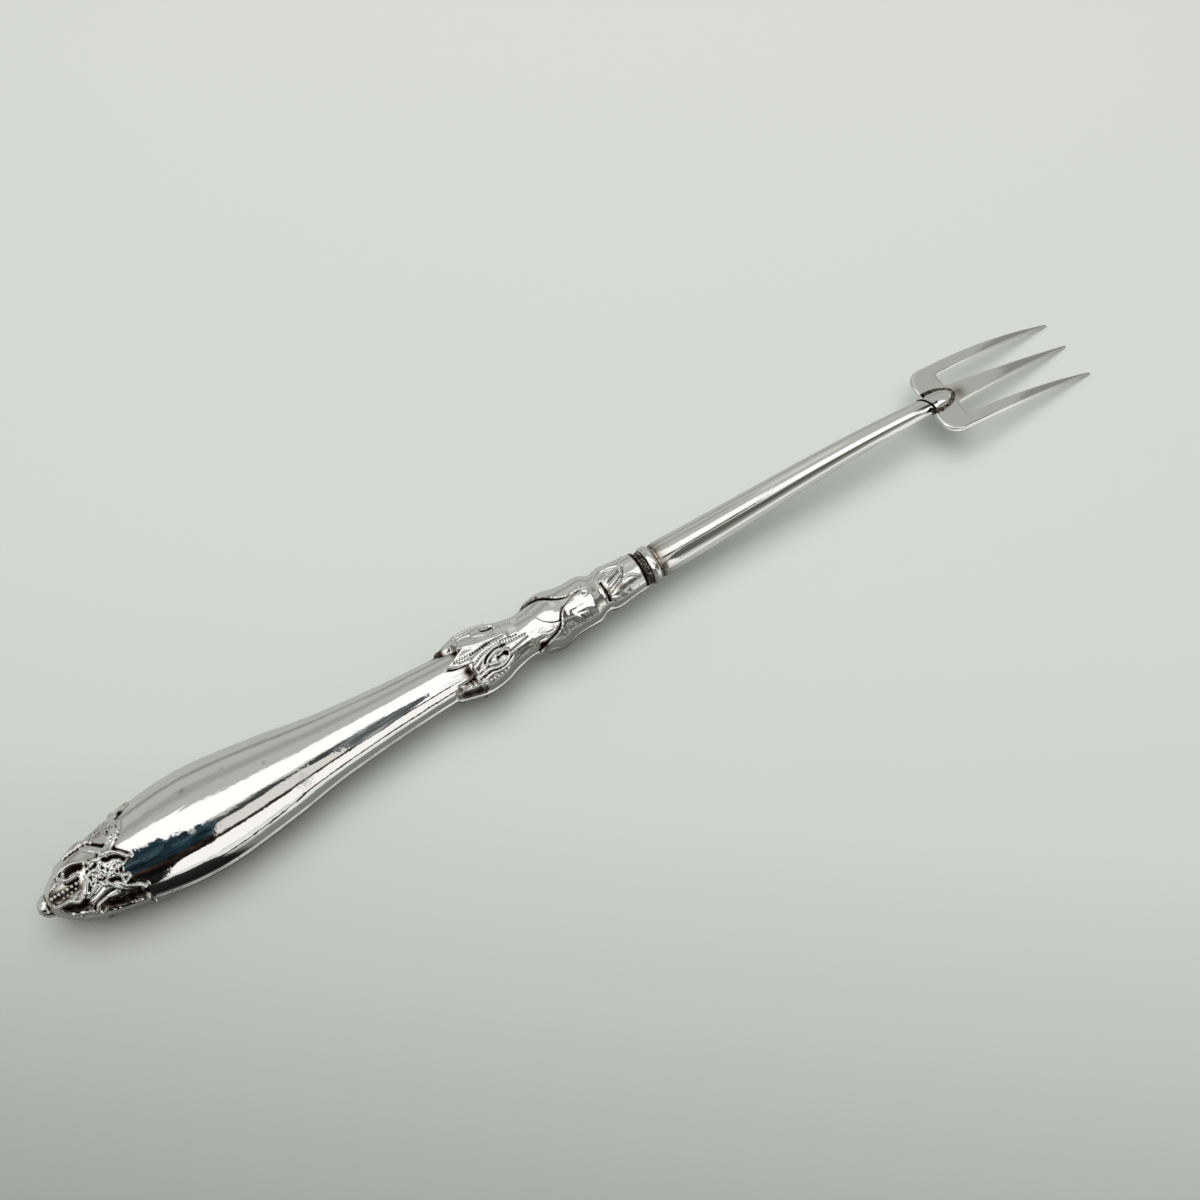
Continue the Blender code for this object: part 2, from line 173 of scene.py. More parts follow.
# Stamped lines of the ornament: path, width and height in millimetres; a negative height is a sunk line
BUTT_LINES = (
    (((5.0, 19), (5.8, 22), (6.7, 23), (7.8, 20), (8.9, 15), (9.8, 10), (10.5, 4)), 0.60, 0.40),
    (((5.1, 20), (5.7, 9), (6.5, 0), (7.5, -2), (8.3, -1), (8.7, 2)), 0.55, 0.36),
    (((2.8, -28), (3.0, -38), (3.9, -40), (5.3, -34), (5.9, -36), (6.3, -41), (6.9, -43), (7.5, -38),
      (8.0, -32), (8.4, -26), (8.9, -19), (9.4, -14), (9.9, -8), (10.3, -3), (10.7, 1), (11.3, 2),
      (12.0, 0), (12.3, -5)), 0.65, 0.42),
    (((6.4, -31), (7.6, -25)), 0.40, 0.15),
    (((8.4, -31), (8.9, -24), (9.4, -18)), 0.90, 0.20),
    (((12.6, 2), (13.8, 1), (14.7, -3), (15.4, -7), (16.1, -14), (16.6, -16)), 0.65, 0.40),
    (((12.6, -25), (13.6, -20), (14.8, -15)), 1.10, 0.25),
    (((11.6, -34), (12.0, -33), (12.2, -37), (12.5, -42), (12.9, -44)), 0.55, 0.36),
    (((14.0, -38), (14.0, -35), (14.5, -33), (15.1, -36), (14.8, -40), (14.2, -41)), 0.40, 0.30),
    (((13.9, -43), (13.9, -46), (14.7, -49), (15.8, -52), (16.6, -57)), 0.55, 0.38),
    (((16.4, -56), (15.8, -59), (15.7, -66), (15.8, -75), (16.1, -87)), 0.55, 0.38),
    (((9.7, -71), (9.1, -76), (8.5, -73), (8.4, -67), (9.0, -57), (10.4, -51)), 0.50, 0.36),
    (((4.9, -68), (5.7, -75)), 0.60, 0.25),
    (((6.2, -68), (7.8, -69)), 0.70, 0.25),
    (((6.9, 50), (7.7, 50), (8.8, 48), (9.6, 45), (10.7, 43), (11.9, 34)), 0.55, 0.32),
    (((10.3, 33), (11.1, 24), (11.9, 17), (12.5, 11), (12.8, 7)), 0.55, 0.34),
    (((14.2, 16), (14.9, 17), (15.7, 18), (16.1, 15), (15.8, 12), (14.4, 14)), 0.32, 0.22),
    (((13.9, 45), (14.2, 50), (14.6, 41), (14.8, 49), (15.5, 40), (15.9, 37)), 0.30, 0.20),
    (((7.0, 11), (8.0, 11), (9.1, 8)), 1.15, -0.36),
    (((6.2, -2), (7.2, -7), (8.2, -7)), 0.50, -0.22),
    (((9.9, 8), (10.2, 2), (10.1, -3), (9.4, -12), (8.8, -20), (8.2, -29)), 0.50, -0.30),
    (((12.8, -3), (13.4, -6), (14.2, -6), (14.9, -10), (15.6, -16)), 0.70, -0.38),
    (((12.4, -31), (13.0, -33), (13.6, -36)), 0.85, -0.40),
    (((8.0, -69), (8.4, -61), (9.0, -55), (10.4, -48), (12.3, -44)), 0.48, -0.32),
    (((11.7, 34), (12.6, 24), (13.5, 15)), 0.80, -0.45),
    (((7.5, -46), (8.6, -44), (9.7, -40), (10.8, -35)), 0.60, -0.15),
    (((4.5, -51), (6.0, -52), (7.4, -49)), 1.60, -0.32),
    (((10.6, -66), (12.6, -67), (15.0, -66)), 2.40, -0.28),
    (((3.4, -14), (5.5, -17), (7.4, -15)), 2.00, -0.22),
    (((7.4, 44), (9.0, 41), (10.6, 36)), 0.60, -0.32),
)
# The throat's motif lies either side of its top leaf: path, width, height on the near and on the far side
THROAT_LINES = (
    (((77.8, 31), (78.2, 26), (79.0, 23), (80.2, 20), (81.1, 22), (82.0, 30)), 0.52, 0.40, 0.14),
    (((75.9, 45), (77.2, 41), (78.1, 41), (79.0, 45), (80.2, 47), (81.4, 44), (81.9, 37), (82.0, 30)),
     0.52, 0.40, 0.30),
    (((75.8, 37), (77.2, 35), (77.9, 33), (78.7, 36), (79.6, 38)), 0.45, 0.22, 0.22),
    (((75.9, 27), (76.9, 21), (78.4, 16), (79.9, 13), (81.0, 12)), 0.90, 0.32, 0.06),
    (((76.1, 15), (77.2, 10), (78.4, 7), (80.2, 5), (82.9, 4)), 0.80, 0.28, 0.26),
    (((72.8, 60), (74.0, 61), (75.3, 59)), 0.42, 0.22, 0.22),
    (((75.4, 47), (75.6, 56), (75.8, 68), (75.9, 85)), 0.50, 0.34, 0.34),
    (((77.7, 28), (78.4, 21), (79.6, 16), (80.8, 15), (82.0, 17)), 0.42, -0.28, -0.05),
    (((80.1, 32), (80.9, 32), (81.6, 33)), 0.80, -0.42, -0.42),
    (((76.6, 50), (78.2, 47), (79.4, 51), (80.8, 52), (82.2, 47)), 0.42, -0.26, -0.26),
    (((82.4, 35), (84.1, 32), (85.9, 28)), 0.34, -0.24, -0.30),
    (((73.0, 80), (74.1, 80), (75.1, 79)), 2.80, -0.50, -0.50),
)
BULB_LINES = (
    (((94.2, -26), (95.2, -27), (96.4, -28)), 0.60, -0.10),
    (((94.5, -36), (95.6, -43), (96.8, -49)), 1.50, -0.14),
    (((86.2, -66), (87.1, -52), (88.4, -50)), 0.90, -0.12),
    (((96.7, -5), (97.4, 1), (98.1, -5), (97.4, -11), (96.7, -5)), 0.42, 0.20),
    (((100.9, -58), (100.9, -25), (100.8, -2)), 0.62, -0.36),
    (((100.8, 4), (100.7, 30), (100.6, 90)), 0.60, -0.12),
    (((100.9, -62), (100.8, -90)), 0.60, -0.12),
    (((101.8, -10), (103.2, -2), (104.4, 5)), 0.30, -0.13),
    (((101.8, -3), (103.1, 5), (104.3, 11)), 0.55, 0.22),
    (((101.8, -21), (103.2, -13), (104.5, -3)), 0.60, 0.20),
    (((102.3, 20), (103.8, 14)), 0.30, -0.13),
    (((105.4, 13), (104.8, -6), (104.1, -21), (103.2, -27), (101.7, -39)), 0.36, -0.17),
    (((101.9, 27), (103.2, 28), (104.7, 22)), 0.34, 0.20),
    (((101.4, -50), (102.5, -56), (104.0, -64)), 0.36, 0.20),
    (((104.4, -21), (105.5, -20), (106.4, -26), (107.3, -39)), 0.34, 0.20),
    (((104.6, 40), (105.6, 46), (106.6, 60)), 0.34, 0.20),
    (((102.0, 60), (103.4, 66), (104.8, 78)), 0.36, -0.20),
)
# Petals of the bulb: path with the raised petal on its left and an undercut on its right, then the petal's
# height and the undercut's darkness, painted shade with dirt, at the path's start and end, and the undercut's
# width
PETAL_EDGES = (
    (((88.4, 70), (89.7, 50), (90.7, 38), (91.7, 26), (92.7, 17), (93.9, 11), (94.9, 8), (96.4, 9),
      (97.4, 6)), (0.60, 0.10), (1.1, -0.5), 0.34),
    (((97.2, 6), (95.4, 0), (94.1, -6), (92.9, -14), (92.0, -28), (91.4, -40), (90.3, -50), (88.8, -63),
      (87.0, -84)), (0.14, 0.50), (0.1, 1.1), 0.28),
    (((91.8, -31), (91.1, -29), (90.1, -24), (89.2, -14), (88.8, -4)), (0.28, 0.12), (0.5, 0.1), 0.18),
)
PETAL_FADE = 2.6
# Rows of beads and punched dots: path, spacing and radius in millimetres
BUTT_BEADS = (
    (((3.2, -12), (5.4, -13), (7.7, -12)), 0.74, 0.33),
    (((5.0, -24), (6.0, -22), (7.3, -19)), 0.74, 0.22),
    (((6.4, 52), (8.0, 50), (9.4, 47), (10.9, 42)), 0.52, 0.22),
)
THROAT_BEADS = (
    (((82.3, 33), (84.1, 29), (85.9, 25)), 0.34, 0.15),
    (((82.4, 37), (84.1, 35), (85.9, 31)), 0.34, 0.15),
    (((76.0, 56), (77.1, 60), (79.2, 62), (80.8, 62)), 0.70, 0.30),
)
PUNCH_ROWS = (
    ((3.0, 3), (3.8, 5), (4.7, 7)),
    ((76.2, -10), (77.5, -7), (78.7, -5)),
    ((76.3, -21), (77.3, -16), (78.3, -12), (79.9, -9), (82.1, -8), (84.4, -9)),
    ((81.5, -15), (83.8, -17), (85.7, -19)),
    ((73.5, 0), (75.5, -2), (77.8, -1), (79.9, 1), (82.2, 2)),
    ((74.2, -5), (75.6, -7), (76.6, -4), (78.4, -3), (79.9, -3)),
)
PUNCH_SPACING = 0.46
PUNCH_RADIUS = 0.19
PUNCH_DEPTH = 0.28
# Fields of the butt that are matted all over with a round punch: centre, half lengths, number of dots
MATTED_FIELDS = (
    ((11.1, -16), (1.3, 15), 46),
    ((12.8, -68), (2.4, 12), 52),
    ((13.6, -20), (1.2, 6), 16),
    ((7.6, 62), (1.6, 10), 34),
    ((12.4, 42), (1.3, 8), 26),
    ((15.6, 30), (1.2, 6), 16),
    ((12.8, 68), (2.4, 12), 52),
)
# Wear of the plain belly: fine creases as stamped lines, and dents with their place, radius and depth
WEAR_LINES = (
    (((20.4, -10), (22.4, -6), (25.0, -2), (27.6, 1)), 0.40, -0.012),
)
DENTS = (
    ((27.4, 17), 1.00, 0.026),
    ((30.6, 12), 0.60, 0.012),
    ((34.3, 20), 0.60, 0.010),
    ((40.2, 3), 0.60, 0.016),
    ((47.0, 26), 1.20, 0.014),
    ((60.5, 8), 0.70, 0.012),
)
# Sunk lines deeper and wider than this are dark grounds. Elsewhere dirt and painted shade start this far
# below the skin around it, and are full after this span
GROUND_DEPTH = -0.2
GROUND_WIDTH = 1.0
DIRT_FROM = 0.045
DIRT_SPAN = 0.14
# Dirt between the throat's leaves: where the notches start and how long they are; and its length at the mouth
NOTCH_START = 74.2
NOTCH_LENGTH = 1.6
MOUTH_DIRT = 0.6
# Brown stains: place, radius in millimetres and depth of tone
STAINS = (
    ((17.6, 44), 0.5, 0.9),
    ((18.9, 57), 0.5, 0.8),
    ((103.4, -33), 0.7, 0.35),
    ((90.6, -37), 0.5, 0.35),
    ((101.4, -30), 0.5, 0.45),
    ((74.6, -30), 0.8, 0.45),
    ((74.4, 30), 0.8, 0.45),
    ((87.6, -68), 0.8, 0.80),
    ((72.4, 48), 0.6, 0.70),
    ((71.4, 60), 0.8, 0.80),
    ((80.4, 32), 0.4, 0.80),
    ((81.2, 33), 0.4, 0.80),
    ((82.9, 34), 0.3, 0.60),
    ((83.7, 33), 0.3, 0.50),
    ((84.5, 31), 0.3, 0.40),
    ((8.4, 38), 2.0, 0.20),
    ((13.6, 38), 2.2, 0.18),
    ((27.5, 18), 0.45, 0.35),
    ((40.2, 3), 0.25, 0.35),
    ((34.3, 20), 0.30, 0.20),
)


def place(x, y, z):
    """A point of the fork in the frame's metres."""
    return Vector((BUTT + x * MM, y * MM, (AXIS + z) * MM))


def curve_through(points, steps=10):
    """A smooth line through the points, as an array with one row per place."""
    ends = np.array([points[0], *points, points[-1]], float)
    share = np.linspace(0, 1, steps, endpoint=False)[:, None]
    rows = []
    for a, b, c, d in zip(ends, ends[1:], ends[2:], ends[3:]):
        rows.append(0.5 * (2 * b + (c - a) * share + (2 * a - 5 * b + 4 * c - d) * share ** 2
                           + (3 * b - a - 3 * c + d) * share ** 3))
    return np.vstack(rows + [ends[-1:]])


def smooth_step(value):
    value = np.clip(value, 0.0, 1.0)
    return value * value * (3 - 2 * value)


BODY_CURVE = curve_through(BODY_OUTLINE, 80)
THROAT_CURVE = curve_through(THROAT_OUTLINE, 80)
BUTT_EDGE_CURVE = curve_through(BUTT_EDGE)
THROAT_EDGE_CURVE = curve_through(THROAT_EDGE)
MOUTH_RADIUS = THROAT_OUTLINE[-1][1] * HALF_WIDTH


def half_sizes(x, angle):
    """Half width and half height of the handle's section, with the throat's leaves over the body."""
    share = (x - SHELL_START) / (SHELL_END - SHELL_START)
    body = np.interp(share, BODY_CURVE[:, 0], BODY_CURVE[:, 1])
    throat = np.interp(share, THROAT_CURVE[:, 0], THROAT_CURVE[:, 1])
    edge = np.interp(angle, THROAT_EDGE_CURVE[:, 0], THROAT_EDGE_CURVE[:, 1])
    leaf = smooth_step((x - edge) / LEAF_EDGE + 0.5)
    wide = HALF_WIDTH * (body + (throat - body) * leaf)
    swell = np.maximum(0.0, (wide - MOUTH_RADIUS) / (HALF_WIDTH - MOUTH_RADIUS))
    return wide, wide + (HALF_HEIGHT - HALF_WIDTH) * swell


def nearest(x, angle, wide, path):
    """Distance in millimetres from each place of the skin to a path, its side and its share along it."""
    line = curve_through(path)
    best = np.full(x.shape, np.inf)
    side = np.zeros(x.shape)
    passed = np.zeros(x.shape)
    around = np.radians(1.0) * wide
    for number, ((x0, a0), (x1, a1)) in enumerate(zip(line, line[1:])):
        along = np.stack(((x1 - x0) + 0 * x, (a1 - a0) * around))
        away = np.stack((x - x0, (angle - a0) * around))
        length = (along ** 2).sum(0)
        share = np.clip((along * away).sum(0) / np.maximum(length, 1e-9), 0, 1)
        gap = np.hypot(*(away - share * along))
        turn = along[0] * away[1] - along[1] * away[0]
        side = np.where(gap < best, np.sign(turn), side)
        passed = np.where(gap < best, (number + share) / (len(line) - 1), passed)
        best = np.minimum(gap, best)
    return best, side, passed


def dots_along(path, spacing, wide):
    """Places at an even spacing along a path on a skin of about this half width."""
    line = curve_through(path)
    steps = np.hypot(np.diff(line[:, 0]), np.radians(np.diff(line[:, 1])) * wide)
    run = np.concatenate(([0.0], np.cumsum(steps)))
    stops = np.linspace(0, run[-1], max(2, round(run[-1] / spacing) + 1))
    return np.stack((np.interp(stops, run, line[:, 0]), np.interp(stops, run, line[:, 1])), 1)


def mirrored(path):
    return tuple((x, -angle) for x, angle in path)


def ornament_lines():
    """Every stamped line of one half of the handle."""
    lines = list(BUTT_LINES) + list(BULB_LINES) + list(WEAR_LINES)
    low_scrolls = [line for line in BUTT_LINES if all(angle < -50 for _, angle in line[0])]
    for path, width, height in low_scrolls:
        lines.append((mirrored(path), width, height))
    for path, width, near_height, far_height in THROAT_LINES:
        lines.append((path, width, far_height))
        lines.append((mirrored(path), width, near_height))
    return lines


def punched_dots():
    """Every punched dot of one half of the handle."""
    draw = np.random.default_rng(7)
    dots = [dots_along(path, PUNCH_SPACING, 0.6 * HALF_WIDTH) for path in PUNCH_ROWS]
    for (x, angle), (half_x, half_angle), count in MATTED_FIELDS:
        spread = draw.uniform(-1, 1, (count, 2))
        dots.append(np.array((x, angle)) + spread * np.array((half_x, half_angle)))
    return np.vstack(dots)


def blurred(field, span):
    """A field averaged over this many grid steps either way along both axes."""
    for axis in (0, 1):
        margin = [(0, 0), (0, 0)]
        margin[axis] = (span + 1, span)
        total = np.cumsum(np.pad(field, margin, mode="edge"), axis)
        count = field.shape[axis]
        ahead = np.take(total, np.arange(count) + 2 * span + 1, axis)
        behind = np.take(total, np.arange(count), axis)
        field = (ahead - behind) / (2 * span + 1)
    return field


def rows_near(x, low, high, margin):
    """The rows of the skin's grid whose place along the handle is within a margin of two others."""
    rows = np.nonzero((x[:, 0] > low - margin) & (x[:, 0] < high + margin))[0]
    return slice(rows[0], rows[-1] + 1)


def stamp_lines(x, angle, wide, height, tarnish):
    """Adds the ornament's raised and sunk lines to the height, and its dark grounds to the tarnish."""
    for path, width, lift in ornament_lines():
        spots = [spot for spot, _ in path]
        part = rows_near(x, min(spots), max(spots), 2 * width)
        gap, _, _ = nearest(x[part], angle[part], wide[part], path)
        bump = np.clip(1 - (gap / (0.7 * width)) ** 2, 0, 1) ** 1.3
        height[part] += lift * bump
        if lift < GROUND_DEPTH and width > GROUND_WIDTH:
            tarnish[part] += 0.8 * bump


def stamp_petals(x, angle, wide, height, tarnish):
    """Adds the bulb's petals and their undercuts to the height, and the undercuts' painted shade and dirt to
    the darkening.
    """
    for path, lifts, tones, width in PETAL_EDGES:
        spots = [spot for spot, _ in path]
        part = rows_near(x, min(spots), max(spots), 2 * PETAL_FADE)
        gap, side, passed = nearest(x[part], angle[part], wide[part], path)
        lift = lifts[0] + (lifts[1] - lifts[0]) * passed
        tone = np.clip(tones[0] + (tones[1] - tones[0]) * passed, 0, 1)
        petal = np.where(side > 0, np.exp(-gap / PETAL_FADE) * smooth_step(gap / 0.12 + 0.5), 0)
        cut = np.where(side <= 0, np.exp(-(gap / width) ** 2), 0)
        height[part] += lift * petal - 0.4 * lift * cut
        # Painted shade with dirt in the undercut, under the petal's edge
        tarnish[part] += tone * cut


def relief(x, angle, wide):
    """Height of the ornament over the skin in millimetres, and its tarnish, dirt and painted shade at each
    place.
    """
    height = np.zeros(x.shape)
    tarnish = np.zeros(x.shape)
    edge = np.interp(angle, BUTT_EDGE_CURVE[:, 0], BUTT_EDGE_CURVE[:, 1])
    height += FOLIAGE_THICKNESS * smooth_step((edge - x) / FOLIAGE_EDGE + 0.5)
    height += RIM_HEIGHT * np.exp(-((edge - x - FOLIAGE_RIM_INSET) / RIM_WIDTH) ** 2)
    leaf_edge = np.interp(angle, THROAT_EDGE_CURVE[:, 0], THROAT_EDGE_CURVE[:, 1])
    height += RIM_HEIGHT * np.exp(-((x - leaf_edge - LEAF_RIM_INSET) / RIM_WIDTH) ** 2)
    stamp_lines(x, angle, wide, height, tarnish)
    stamp_petals(x, angle, wide, height, tarnish)
    for spot, turn in punched_dots():
        part = rows_near(x, spot, spot, 3 * PUNCH_RADIUS)
        gap = np.hypot(x[part] - spot, np.radians(angle[part] - turn) * wide[part])
        height[part] -= PUNCH_DEPTH * np.exp(-(gap / PUNCH_RADIUS) ** 2)
    for (spot, turn), radius, depth in DENTS:
        gap = np.hypot(x - spot, np.radians(angle - turn) * wide)
        height -= depth * np.exp(-(gap / radius) ** 2)
    from_top = np.abs(angle)
    by_tips = (from_top > TOP_LEAF_TIPS[0]) & (from_top < TOP_LEAF_TIPS[1])
    # Painted shadow under the top leaf's tips, over a shallow sunk line
    under_leaf = np.exp(-((leaf_edge - x - LEAF_LINE_OFF) / LEAF_LINE_WIDTH) ** 2) * by_tips
    height -= LEAF_LINE_DEPTH * under_leaf
    tarnish += 0.9 * under_leaf
    for (spot, turn), radius, depth in STAINS:
        gap = np.hypot(x - spot, np.radians(angle - turn) * wide)
        tarnish += depth * np.exp(-(gap / radius) ** 2)
    # Dirt in the notches between the leaves and at the mouth, and in all that lies below the skin around it
    # patina and painted shade
    notch = np.clip((leaf_edge - x) / 0.3, 0, 1) * np.clip((x - leaf_edge + NOTCH_LENGTH) / 0.8, 0, 1)
    tarnish += 0.45 * notch * smooth_step(leaf_edge - NOTCH_START)
    # Painted shade over the patina: darker wherever the surface lies below the skin around it
    sunk = blurred(blurred(height, 3), 3) - height
    tarnish += smooth_step((sunk - DIRT_FROM) / DIRT_SPAN)
    tarnish += smooth_step((x - SHELL_END + MOUTH_DIRT) / 0.4)
    return height, np.clip(tarnish, 0, 1)


def shell_stations():
    """Places along the handle, close together where there is ornament."""
    zones = ((SHELL_START, BELLY_START, 0.10), (BELLY_START, THROAT_START, 0.45),
             (THROAT_START, BULB_START, 0.10), (BULB_START, SHELL_END, 0.12))
    return np.concatenate([np.arange(start, end, step) for start, end, step in zones] + [[SHELL_END]])


SKIN_COLUMNS = 140
WALL_COLUMNS = 10
seam_angles = np.linspace(-90, 90, SKIN_COLUMNS + 1)


def skin_points():
    """Points of one half's outer skin over the axis, and their tarnish, dirt and painted shade."""
    x, angle = np.meshgrid(shell_stations(), seam_angles, indexing="ij")
    wide, high = half_sizes(x, angle)
    lift, tarnish = relief(x, angle, wide)
    turn = np.radians(angle)
    out_y, out_z = np.sin(turn) / wide, np.cos(turn) / high
    size = np.hypot(out_y, out_z)
    y = wide * np.sin(turn) + lift * out_y / size
    z = high * np.cos(turn) + lift * out_z / size
    return np.stack((x, y, z), -1), tarnish


def skin_point(x, angle, lift=0.0):
    """One point over the handle's skin, from the same rule as the whole skin."""
    wide, high = (float(size) for size in half_sizes(np.array(x), np.array(angle)))
    turn = math.radians(angle)
    return Vector((x, (wide + lift) * math.sin(turn), (high + lift) * math.cos(turn)))


def srgb(code):
    """An sRGB hex colour as linear red, green, blue and alpha."""
    parts = [int(code[i:i + 2], 16) / 255 for i in (1, 3, 5)]
    return [p / 12.92 if p <= 0.04045 else ((p + 0.055) / 1.055) ** 2.4 for p in parts] + [1.0]


def connect(tree, node, inputs):
    """Sets a node's inputs: each to a value, or linked from a socket or from a node's first output."""
    for key, value in inputs.items():
        if isinstance(value, bpy.types.Node):
            value = value.outputs[0]
        if isinstance(value, bpy.types.NodeSocket):
            tree.links.new(value, node.inputs[key])
        else:
            node.inputs[key].default_value = value


def add(tree, kind, inputs=None, stops=(), **settings):
    """Adds a node with its inputs and settings; stops are a colour ramp's places and hex colours."""
    made = tree.nodes.new(kind)
    for key, value in settings.items():
        setattr(made, key, value)
    connect(tree, made, inputs or {})
    for number, (spot, code) in enumerate(stops):
        elements = made.color_ramp.elements
        if number == len(elements):
            elements.new(1.0)
        elements[number].position = spot
        elements[number].color = srgb(code)
    return made


def per_mm(size):
    """Texture scale on Object coordinates that gives a pattern of this size in millimetres."""
    return 1.0 / (size * MM)


def between(tree, value, low, high, soft):
    """1 where the value lies between two edges, 0 outside them."""
    past_low, past_high = (
        add(tree, "ShaderNodeMapRange", {0: value, 1: edge - soft, 2: edge + soft},
            interpolation_type="SMOOTHSTEP")
        for edge in (low, high))
    return add(tree, "ShaderNodeMath", {0: past_low, 1: past_high}, operation="SUBTRACT")


def new_surface(name):
    """An empty Principled material with its tree and shader."""
    made = bpy.data.materials.new(name)
    made.use_nodes = True
    return made, made.node_tree, made.node_tree.nodes["Principled BSDF"]


def polished_silver(name, wear):
    """Hand-polished sterling: mirror bright, dented by wear, hairlined, brown-black in its recesses from
    patina and painted shade.
    """
    made, tree, shader = new_surface(name)
    spot = add(tree, "ShaderNodeTexCoord").outputs["Object"]
    rubbed = add(tree, "ShaderNodeMapping", {"Vector": spot, "Scale": (0.06, 1.0, 1.0)})
    drawn = add(tree, "ShaderNodeMapping", {"Vector": spot, "Scale": (0.1, 1.0, 1.0)})
    patterns = ((rubbed, 0.25, 3.0), (spot, 7.0, 1.5), (drawn, 1.5, 2.0), (spot, 0.9, 2.0), (spot, 1.1, 4.0))
    hairlines, dents, streaks, pits, blotches = (
        add(tree, "ShaderNodeTexNoise", {"Vector": where, "Scale": per_mm(size), "Detail": detail})
        for where, size, detail in patterns)
    # This darkens the silver for tarnish and dirt, and for painted shade in the hollows, under the leaf tips
    # and petals
    recess = add(tree, "ShaderNodeAttribute", attribute_name="tarnish").outputs["Fac"]
    uneven = add(tree, "ShaderNodeMath", {0: blotches, 1: 0.75}, operation="ADD")
    dark = add(tree, "ShaderNodeMath", {0: recess, 1: uneven}, operation="MULTIPLY", use_clamp=True)
    tint = add(tree, "ShaderNodeValToRGB", {"Fac": dark},
               ((0.0, "#F3F3F0"), (0.4, "#C6C0B7"), (0.75, "#5E4E45"), (1.0, "#17110F")))
    polish = add(tree, "ShaderNodeMapRange", {0: hairlines, 3: 0.02, 4: 0.09})
    dull = add(tree, "ShaderNodeMath", {0: dark, 1: 0.3, 2: polish}, operation="MULTIPLY_ADD")
    under = {}
    for pattern, strength, depth in ((dents, 0.30, 0.30), (streaks, 0.35, 0.10), (pits, 0.30, 0.05),
                                     (hairlines, 0.05, 0.02)):
        sunk = add(tree, "ShaderNodeBump", {"Height": pattern, "Strength": wear * strength,
                                            "Distance": depth * MM, **under})
        under = {"Normal": sunk}
    connect(tree, shader, {"Base Color": tint, "Roughness": dull, "Metallic": 1.0, **under})
    return made


def mottled(name, stops, grain, metallic, roughness, bump):
    """A material whose colour wanders between hex stops in grains of a size in millimetres."""
    made, tree, shader = new_surface(name)
    spot = add(tree, "ShaderNodeTexCoord").outputs["Object"]
    noise = add(tree, "ShaderNodeTexNoise", {"Vector": spot, "Scale": per_mm(grain), "Detail": 5.0,
                                             "Roughness": 0.6})
    tint = add(tree, "ShaderNodeValToRGB", {"Fac": noise}, stops)
    rough = add(tree, "ShaderNodeMapRange", {0: noise, 3: roughness[0], 4: roughness[1]})
    lumps = add(tree, "ShaderNodeBump", {"Height": noise, "Strength": 0.6, "Distance": bump * MM})
    connect(tree, shader, {"Base Color": tint, "Roughness": rough, "Normal": lumps, "Metallic": metallic})
    return made


# Silver solder in the seams: paler and duller than the sheet, so the seam reads as a thin pale line
def silver_solder():
    return mottled("silver_solder", ((0.35, "#CFCDC9"), (0.65, "#F2F1EE")), 4.0, 1.0, (0.2, 0.35), 0.02)


# Hard brass solder, old: yellow-brown metal with dark oxide in it
def brass_solder():
    return mottled("brass_solder", ((0.34, "#4A3C30"), (0.46, "#A08F76"), (0.60, "#E2DAC4")),
                   0.7, 1.0, (0.2, 0.4), 0.08)


def burnt_solder():
    """Old solder round the tongue: dull brown metal that goes to black with flux where it is thick, and as
    painted shade in the crack.
    """
    made = mottled("burnt_solder", ((0.36, "#3A2D25"), (0.52, "#7A6C60"), (0.68, "#B7AFA5")),
                   0.5, 1.0, (0.2, 0.45), 0.10)
    tree = made.node_tree
    shader = tree.nodes["Principled BSDF"]
    bare = shader.inputs["Base Color"].links[0].from_socket
    flux = add(tree, "ShaderNodeAttribute", attribute_name="tarnish").outputs["Fac"]
    # Black for flux, and painted shade in the crack and beside it
    crust = add(tree, "ShaderNodeMix", {0: flux, 6: bare, 7: srgb("#0A0706")}, data_type="RGBA").outputs[2]
    connect(tree, shader, {"Base Color": crust})
    return made


# Cutler's cement: a matt, nearly black resin with brown dust in it
def cutlers_cement():
    return mottled("cutlers_cement", ((0.40, "#0C0A08"), (0.52, "#3A322B"), (0.64, "#A2968A")),
                   0.5, 0.0, (0.3, 0.6), 0.08)


# Pitch filling: dark brown resin, glossy where it touched the shell
def pitch_filling():
    return mottled("pitch_filling", ((0.35, "#120B07"), (0.65, "#2E1D12")), 3.0, 0.0, (0.35, 0.6), 0.10)


# Drawn steel rod: grey, with a faint brown bloom of rust
def drawn_steel():
    return mottled("drawn_steel", ((0.40, "#6E6E70"), (0.62, "#8C8B8A"), (0.75, "#7A5B45")),
                   1.2, 1.0, (0.3, 0.5), 0.03)


# The drawn shank and the rolled head are less worn than the stamped handle, so they mirror straighter
SILVER = polished_silver("polished_silver", 1.0)
DRAWN_SILVER = polished_silver("drawn_silver", 0.3)
SOLDER = silver_solder()
BRASS = brass_solder()
BURNT = burnt_solder()
CEMENT = cutlers_cement()


def new_object(name, data):
    """An object of the scene with this data."""
    made = bpy.data.objects.new(name, data)
    bpy.context.scene.collection.objects.link(made)
    return made


